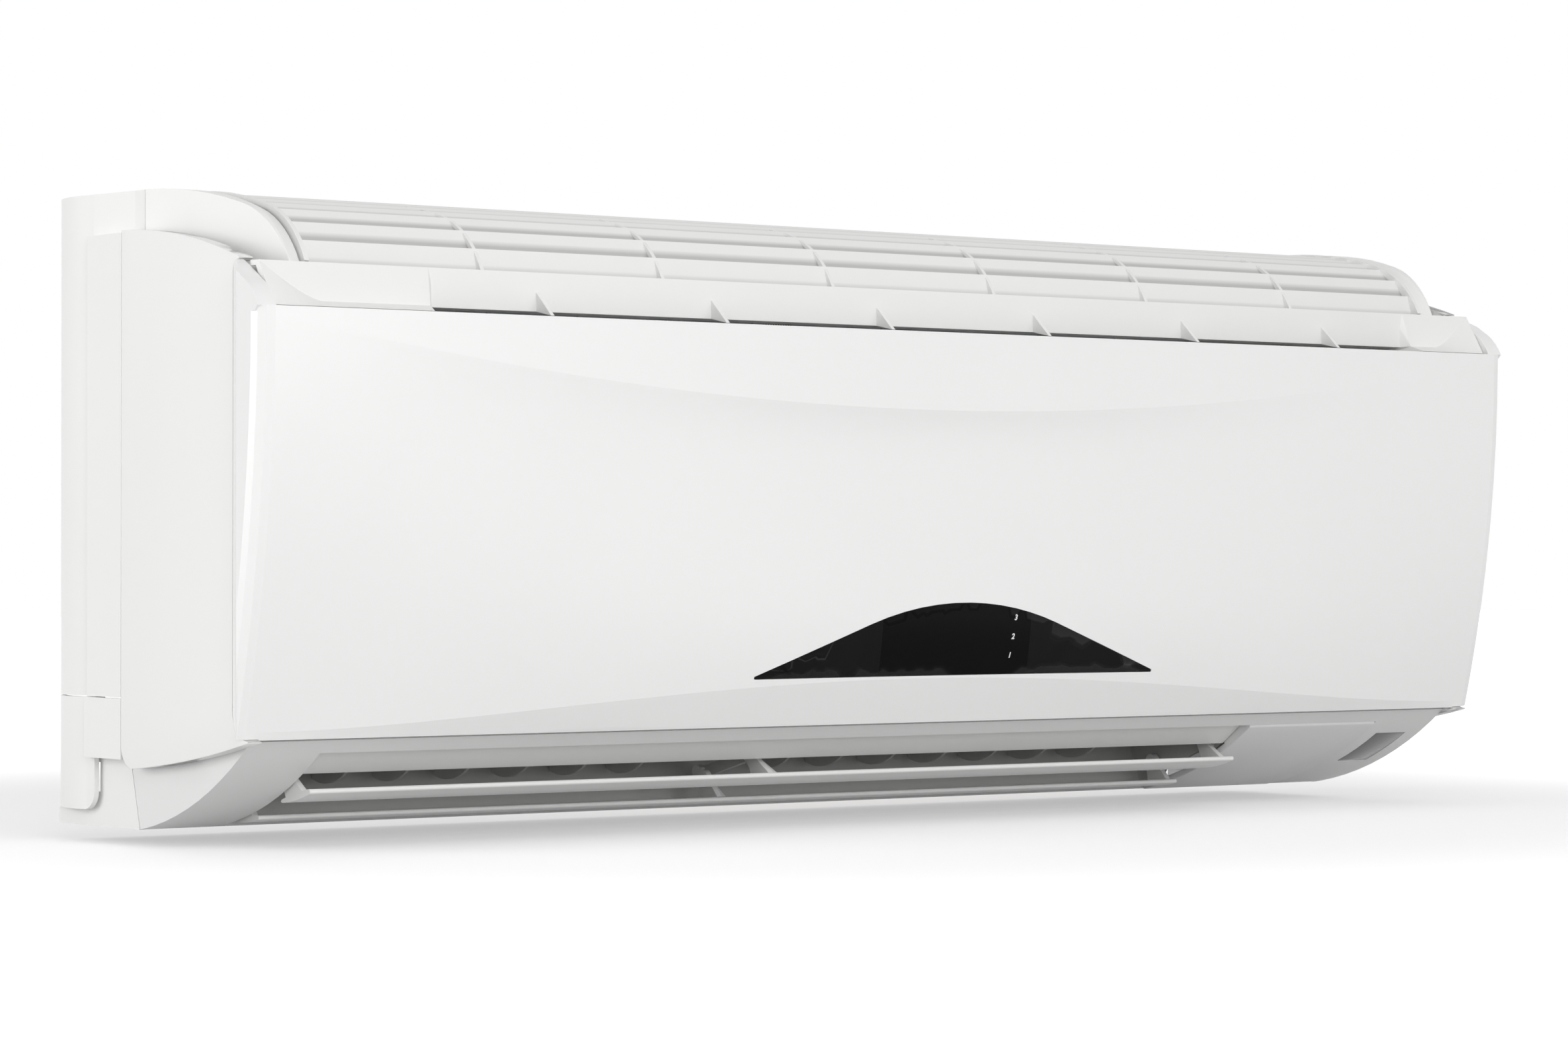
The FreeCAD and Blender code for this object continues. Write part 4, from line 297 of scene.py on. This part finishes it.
def metal(name, colour, rough):
    """Sheet or drawn metal with faint rolling streaks along the unit."""
    made, tree = material(name)
    tree.set(Metallic=1.0)
    values = {"Vector": tree.place(), "Scale": STREAK_STRETCH}
    streak = tree.noise(tree.node("ShaderNodeMapping", {}, values), STREAK_SCALE, 3.0)
    tree.feed("Base Color", tree.blend(streak, shaded(colour, STREAK_SHADE), colour))
    tree.feed("Roughness", rough + STREAK_SPREAD * (streak - 0.5))
    return made


def window_glass(name):
    """Gloss black pane: dark display field in the middle, slightly lighter on both sides."""
    made, tree = material(name)
    tree.set(Roughness=PANE_ROUGH, IOR=PANE_IOR, Specular_IOR_Level=PANE_SPECULAR)
    x = tree.place("X")
    field = (x > DISPLAY_LEFT) * (x < DISPLAY_RIGHT)
    haze = tree.noise(tree.place(), PANE_HAZE, 2.0)
    tree.feed("Base Color", tree.blend(field, tree.blend(haze, *PANE_SIDES), PANE_FIELD))
    return made


def fins(name, colour):
    """Aluminium fin stack: thin upright sheets with painted shade in the gaps between them."""
    made, tree = material(name)
    tree.set(Metallic=FIN_METALLIC)
    sheet = (tree.place("X") % FIN_PITCH) < FIN_SHARE * FIN_PITCH
    cloud = tree.noise(tree.place(), FIN_CLOUD, 2.0)
    lit = tree.blend(cloud, shaded(colour, FIN_DULL), colour)
    # painted shade: the gaps between sheets get a darker copy of the fin colour
    tree.feed("Base Color", tree.blend(sheet, shaded(colour, FIN_GAP_PAINTED_SHADE), lit))
    tree.feed("Roughness", FIN_ROUGH + FIN_SPREAD * cloud)
    tree.bump(sheet, FIN_BUMP, FIN_RELIEF)
    return made


def netting(name, colour):
    """Fine woven filter net: light threads both ways over holes with painted shade."""
    made, tree = material(name)
    tree.set(Roughness=NET_ROUGH)
    across, up = ((tree.place(axis) % NET_PITCH) < NET_SHARE * NET_PITCH for axis in "XZ")
    hole = (1 - across) * (1 - up)
    # painted shade: the holes get a darker copy of the thread colour
    tree.feed("Base Color", tree.blend(hole, colour, shaded(colour, NET_HOLE_PAINTED_SHADE)))
    tree.bump(hole, NET_BUMP, NET_RELIEF)
    return made


FINISHES = {
    "panel_white": moulding("panel_white", (0.88, 0.88, 0.875), 0.25, 0.01),
    "case_white": moulding("case_white", (0.87, 0.87, 0.86), 0.4),
    # painted shade: the lower casing is the same white plastic, set darker for the shade on its
    # underside
    "lower_white": moulding("lower_white", (0.80, 0.80, 0.795), 0.38),
    "grille_grey": louvres("grille_grey", (0.84, 0.84, 0.83), 0.42),
    "frame_white": moulding("frame_white", (0.82, 0.82, 0.81), 0.45),
    "vane_white": moulding("vane_white", (0.87, 0.87, 0.86), 0.35),
    "dark_plastic": moulding("dark_plastic", (0.54, 0.54, 0.53), 0.5),
    "silver_plastic": moulding("silver_plastic", (0.76, 0.76, 0.76), 0.32),
    "window_black": window_glass("window_black"),
    "receiver_grey": moulding("receiver_grey", (0.16, 0.16, 0.165), 0.15, 0.0),
    "fin_aluminium": fins("fin_aluminium", (0.75, 0.77, 0.78)),
    "zinc_steel": metal("zinc_steel", (0.62, 0.63, 0.65), 0.42),
    "copper": metal("copper", (0.72, 0.43, 0.28), 0.3),
    "brass": metal("brass", (0.75, 0.60, 0.32), 0.28),
    "shaft_steel": metal("shaft_steel", (0.70, 0.70, 0.71), 0.25),
    "mount_rubber": moulding("mount_rubber", (0.05, 0.05, 0.05), 0.8),
    "board_green": moulding("board_green", (0.08, 0.28, 0.14), 0.4),
    "filter_net": netting("filter_net", (0.55, 0.57, 0.58)),
}


def dress_nodes():
    for node, obj in frame["nodes"].items():
        obj.data.materials.clear()
        obj.data.materials.append(FINISHES[slots[node]])


def only(obj):
    """Leaves this one object selected and active."""
    bpy.ops.object.select_all(action="DESELECT")
    obj.select_set(True)
    bpy.context.view_layer.objects.active = obj


def pick_edges(piece, wanted):
    """Selects the edges that a test on their middle and fold in degrees accepts."""
    mesh = bmesh.from_edit_mesh(piece.data)
    bpy.ops.mesh.select_all(action="DESELECT")
    bpy.ops.mesh.select_mode(type="EDGE")
    for edge in mesh.edges:
        if len(edge.link_faces) == 2:
            a, b = (point.co for point in edge.verts)
            fold = math.degrees(edge.calc_face_angle_signed(0.0))
            if wanted((a + b) / 2, fold):
                edge.select_set(True)
    bmesh.update_edit_mesh(piece.data)


def pick_points(piece, wanted):
    """Selects the points whose places a test accepts, and drops the rest."""
    mesh = bmesh.from_edit_mesh(piece.data)
    bpy.ops.mesh.select_mode(type="VERT")
    bpy.ops.mesh.select_all(action="DESELECT")
    for point in mesh.verts:
        point.select_set(not point.hide and wanted(point.co))
    mesh.select_flush(True)
    bmesh.update_edit_mesh(piece.data)


def copied(node):
    """A free copy of a node, left in edit mode."""
    piece = bpy.data.objects.new(node + "_moulding", frame["nodes"][node].data.copy())
    bpy.context.scene.collection.objects.link(piece)
    only(piece)
    bpy.ops.object.mode_set(mode="EDIT")
    return piece


def merge_points():
    """Joins the points of the copy in hand where its faces meet."""
    bpy.ops.mesh.customdata_custom_splitnormals_clear()
    bpy.ops.mesh.select_mode(type="VERT")
    bpy.ops.mesh.select_all(action="SELECT")
    bpy.ops.mesh.remove_doubles(threshold=SAME_PLACE)


def keep_shading(piece, source, match):
    """Gives a copy's faces, apart from rounds, the shading of the surfaces they come from."""
    transfer = piece.modifiers.new("shading", "DATA_TRANSFER")
    transfer.object = source
    transfer.use_loop_data = True
    transfer.data_types_loops = {"CUSTOM_NORMAL"}
    transfer.loop_mapping = match
    if piece.vertex_groups:
        transfer.vertex_group = "rounded"
        transfer.invert_vertex_group = True
    bpy.ops.object.modifier_apply(modifier="shading")
    piece.vertex_groups.clear()


def stand_in(piece, node):
    """Shows this piece instead of the node, on the node's body and in its slot."""
    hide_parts(node)
    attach(piece, body_of[node])


def settle(piece, node):
    """Merges a reshaped copy and gives it back the shading it had, or keeps it unmerged where
    merging would change its faces, and shows it for the node.
    """
    bpy.ops.object.mode_set(mode="OBJECT")
    loose = bpy.data.objects.new("loose", piece.data.copy())
    bpy.context.scene.collection.objects.link(loose)
    bpy.ops.object.mode_set(mode="EDIT")
    merge_points()
    bpy.ops.object.mode_set(mode="OBJECT")
    if len(piece.data.loops) == len(loose.data.loops):
        bpy.ops.object.shade_smooth()
        keep_shading(piece, loose, "TOPOLOGY")
    else:
        piece.data = loose.data
    bpy.data.objects.remove(loose)
    stand_in(piece, node)


def round_edges(node, width, steps, wanted):
    """A copy of a moulding with the edges that a test accepts rounded."""
    piece = copied(node)
    merge_points()
    piece.vertex_groups.new(name="rounded")
    pick_edges(piece, wanted)
    bpy.ops.mesh.bevel(offset=width, segments=steps, affect="EDGES", clamp_overlap=True)
    bpy.ops.mesh.select_mode(type="VERT")
    bpy.ops.mesh.select_less()
    bpy.ops.object.vertex_group_assign()
    bpy.ops.object.mode_set(mode="OBJECT")
    bpy.ops.object.shade_smooth()
    keep_shading(piece, frame["nodes"][node], "NEAREST_POLYNOR")
    stand_in(piece, node)


def round_cover(side):
    """A side cover with its outer edge rounded."""
    low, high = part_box("side_cover_" + side)
    outer = low.x if side == "left" else high.x
    width, steps, least = COVER_ROUND
    round_edges("side_cover_" + side, width, steps,
                lambda p, fold: fold > least and abs(p.x - outer) < OUTER_EDGE)


def fill_columns(node, foot):
    """A copy whose rear columns, above a foot, keep nearly their full width back to the wall."""
    piece = copied(node)
    for side in (-1, 1):
        pick_points(piece, lambda p: p.x * side > COLUMN_INNER and p.y > -COLUMN_DEPTH
                    and p.z > foot)
        bpy.ops.mesh.hide(unselected=True)
        pick_points(piece, lambda p: p.y > -WALL_EDGE)
        bpy.ops.transform.translate(value=(side * COLUMN_FILL, 0, 0), use_proportional_edit=True,
                                    proportional_edit_falloff="LINEAR",
                                    proportional_size=COLUMN_DEPTH)
        bpy.ops.mesh.reveal(select=False)
    settle(piece, node)


def straighten_cove():
    """The upper casing with the hollow above the air slit drawn straight down from its brow."""
    piece = copied("upper_casing")
    brow, foot = COVE_BROW, COVE_FOOT
    lean = (brow[0] - foot[0]) / (brow[1] - foot[1])

    def in_hollow(p):
        behind = p.y - foot[0] - lean * (p.z - foot[1])
        return COVE_LEFT < p.x < COVE_RIGHT and -COVE_EDGE < behind < COVE_BOW \
            and foot[1] - COVE_EDGE < p.z < brow[1] - COVE_EDGE

    points = [v.co for v in bmesh.from_edit_mesh(piece.data).verts if in_hollow(v.co)]
    levels = {round(p.z, 5): p.y for p in points}
    for height, depth in levels.items():
        pick_points(piece, lambda p: in_hollow(p) and abs(p.z - height) < COVE_EDGE / 2)
        bpy.ops.transform.translate(value=(0, brow[0] - depth, 0))
    settle(piece, "upper_casing")


def mouldings():
    """The pieces whose edges or forms are finished here."""
    for side in ("left", "right"):
        round_cover(side)
        knockout_low, knockout_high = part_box("pipe_knockout_" + side)
        fill_columns("pipe_knockout_" + side, knockout_low.z - MM)
    fill_columns("rear_chassis", knockout_high.z)
    straighten_cove()
    for node, (width, steps, least) in FITTING_ROUNDS.items():
        round_edges(node, width, steps, lambda p, fold: fold > least)


def indicator_digits():
    """Plain numbers for the three indicator lights, laid on the pane's face."""
    pane = bpy.data.objects["display_window_moulding"]
    bpy.context.view_layer.update()
    for character, inward, up in DIGITS:
        start = Vector((pane_high.x - inward, -1.0, pane_low.z + up))
        spot, normal = pane.ray_cast(start, Vector((0, 1, 0)))[1:3]
        turn = normal.to_track_quat("Z", "Y").to_euler()
        bpy.ops.object.select_all(action="DESELECT")
        bpy.ops.object.text_add(location=spot + normal * DIGIT_PROUD, rotation=turn)
        text = bpy.context.object.data
        text.body, text.size, text.shear = character, DIGIT_SIZE, DIGIT_SLANT
        text.align_x, text.align_y = "CENTER", "CENTER"
        text.offset = DIGIT_SIZE * DIGIT_WEIGHT
        bpy.ops.object.convert(target="MESH")
        bpy.ops.object.transform_apply(location=True, rotation=True, scale=True)
        number = bpy.context.object
        number.name = "indicator_number_" + character
        number.data.materials.clear()
        number.data.materials.append(FINISHES["panel_white"])
        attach(number, body_of["display_window"])


def seen_as_background(tree):
    """1 for rays that come from the camera, a reflection or through glass, and 0 for light."""
    unseen = 1
    for kind in ("Camera", "Glossy", "Transmission"):
        unseen = unseen * (1 - tree.node("ShaderNodeLightPath", out="Is %s Ray" % kind))
    return 1 - unseen


def lay_floor():
    """Pale floor that keeps the unit's shadow and turns white further out."""
    bpy.ops.object.select_all(action="DESELECT")
    bpy.ops.mesh.primitive_plane_add(size=FLOOR_SIZE, location=(0, 0, chassis_low.z - FLOOR_GAP))
    floor = bpy.context.object
    floor.name = "floor"
    made, tree = material("pale_floor")
    tree.set(Roughness=FLOOR_ROUGH, Base_Color=FLOOR_COLOUR, Emission_Strength=1.0)
    reach = tree.node("ShaderNodeVectorMath", {"operation": "LENGTH"}, {0: tree.place()}, "Value")
    far = tree.node("ShaderNodeMapRange", {"interpolation_type": "SMOOTHSTEP"},
                    {"Value": reach, "From Min": FADE_FROM, "From Max": FADE_TO})
    lift = (FLOOR_LIFT + (1 - FLOOR_LIFT) * far) * seen_as_background(tree)
    white = tree.node("ShaderNodeCombineColor", {}, {0: lift, 1: lift, 2: lift})
    tree.feed("Emission Color", white)
    floor.data.materials.append(made)


def set_light():
    """White surroundings and soft lamps."""
    world = bpy.data.worlds.new("studio")
    bpy.context.scene.world = world
    world.use_nodes = True
    sky = Tree(world.node_tree, "Background")
    sky.set(Color=(1, 1, 1, 1))
    sky.feed("Strength", AMBIENT + (1 - AMBIENT) * seen_as_background(sky))
    for name, place, size, power in LAMPS:
        turn = (-Vector(place)).to_track_quat("-Z", "Y").to_euler()
        bpy.ops.object.light_add(type="AREA", location=place, rotation=turn)
        lamp = bpy.context.object
        lamp.name = name
        lamp.data.size, lamp.data.energy = size, power


def set_camera():
    bpy.ops.object.camera_add(location=CAMERA_PLACE, rotation=CAMERA_TURN)
    view = bpy.context.object
    view.data.sensor_width, view.data.lens = CAMERA_SENSOR, CAMERA_LENS
    bpy.context.scene.camera = view
    bpy.context.scene.view_settings.view_transform = "Standard"


dress_nodes()
mouldings()
indicator_digits()
lay_floor()
set_light()
set_camera()
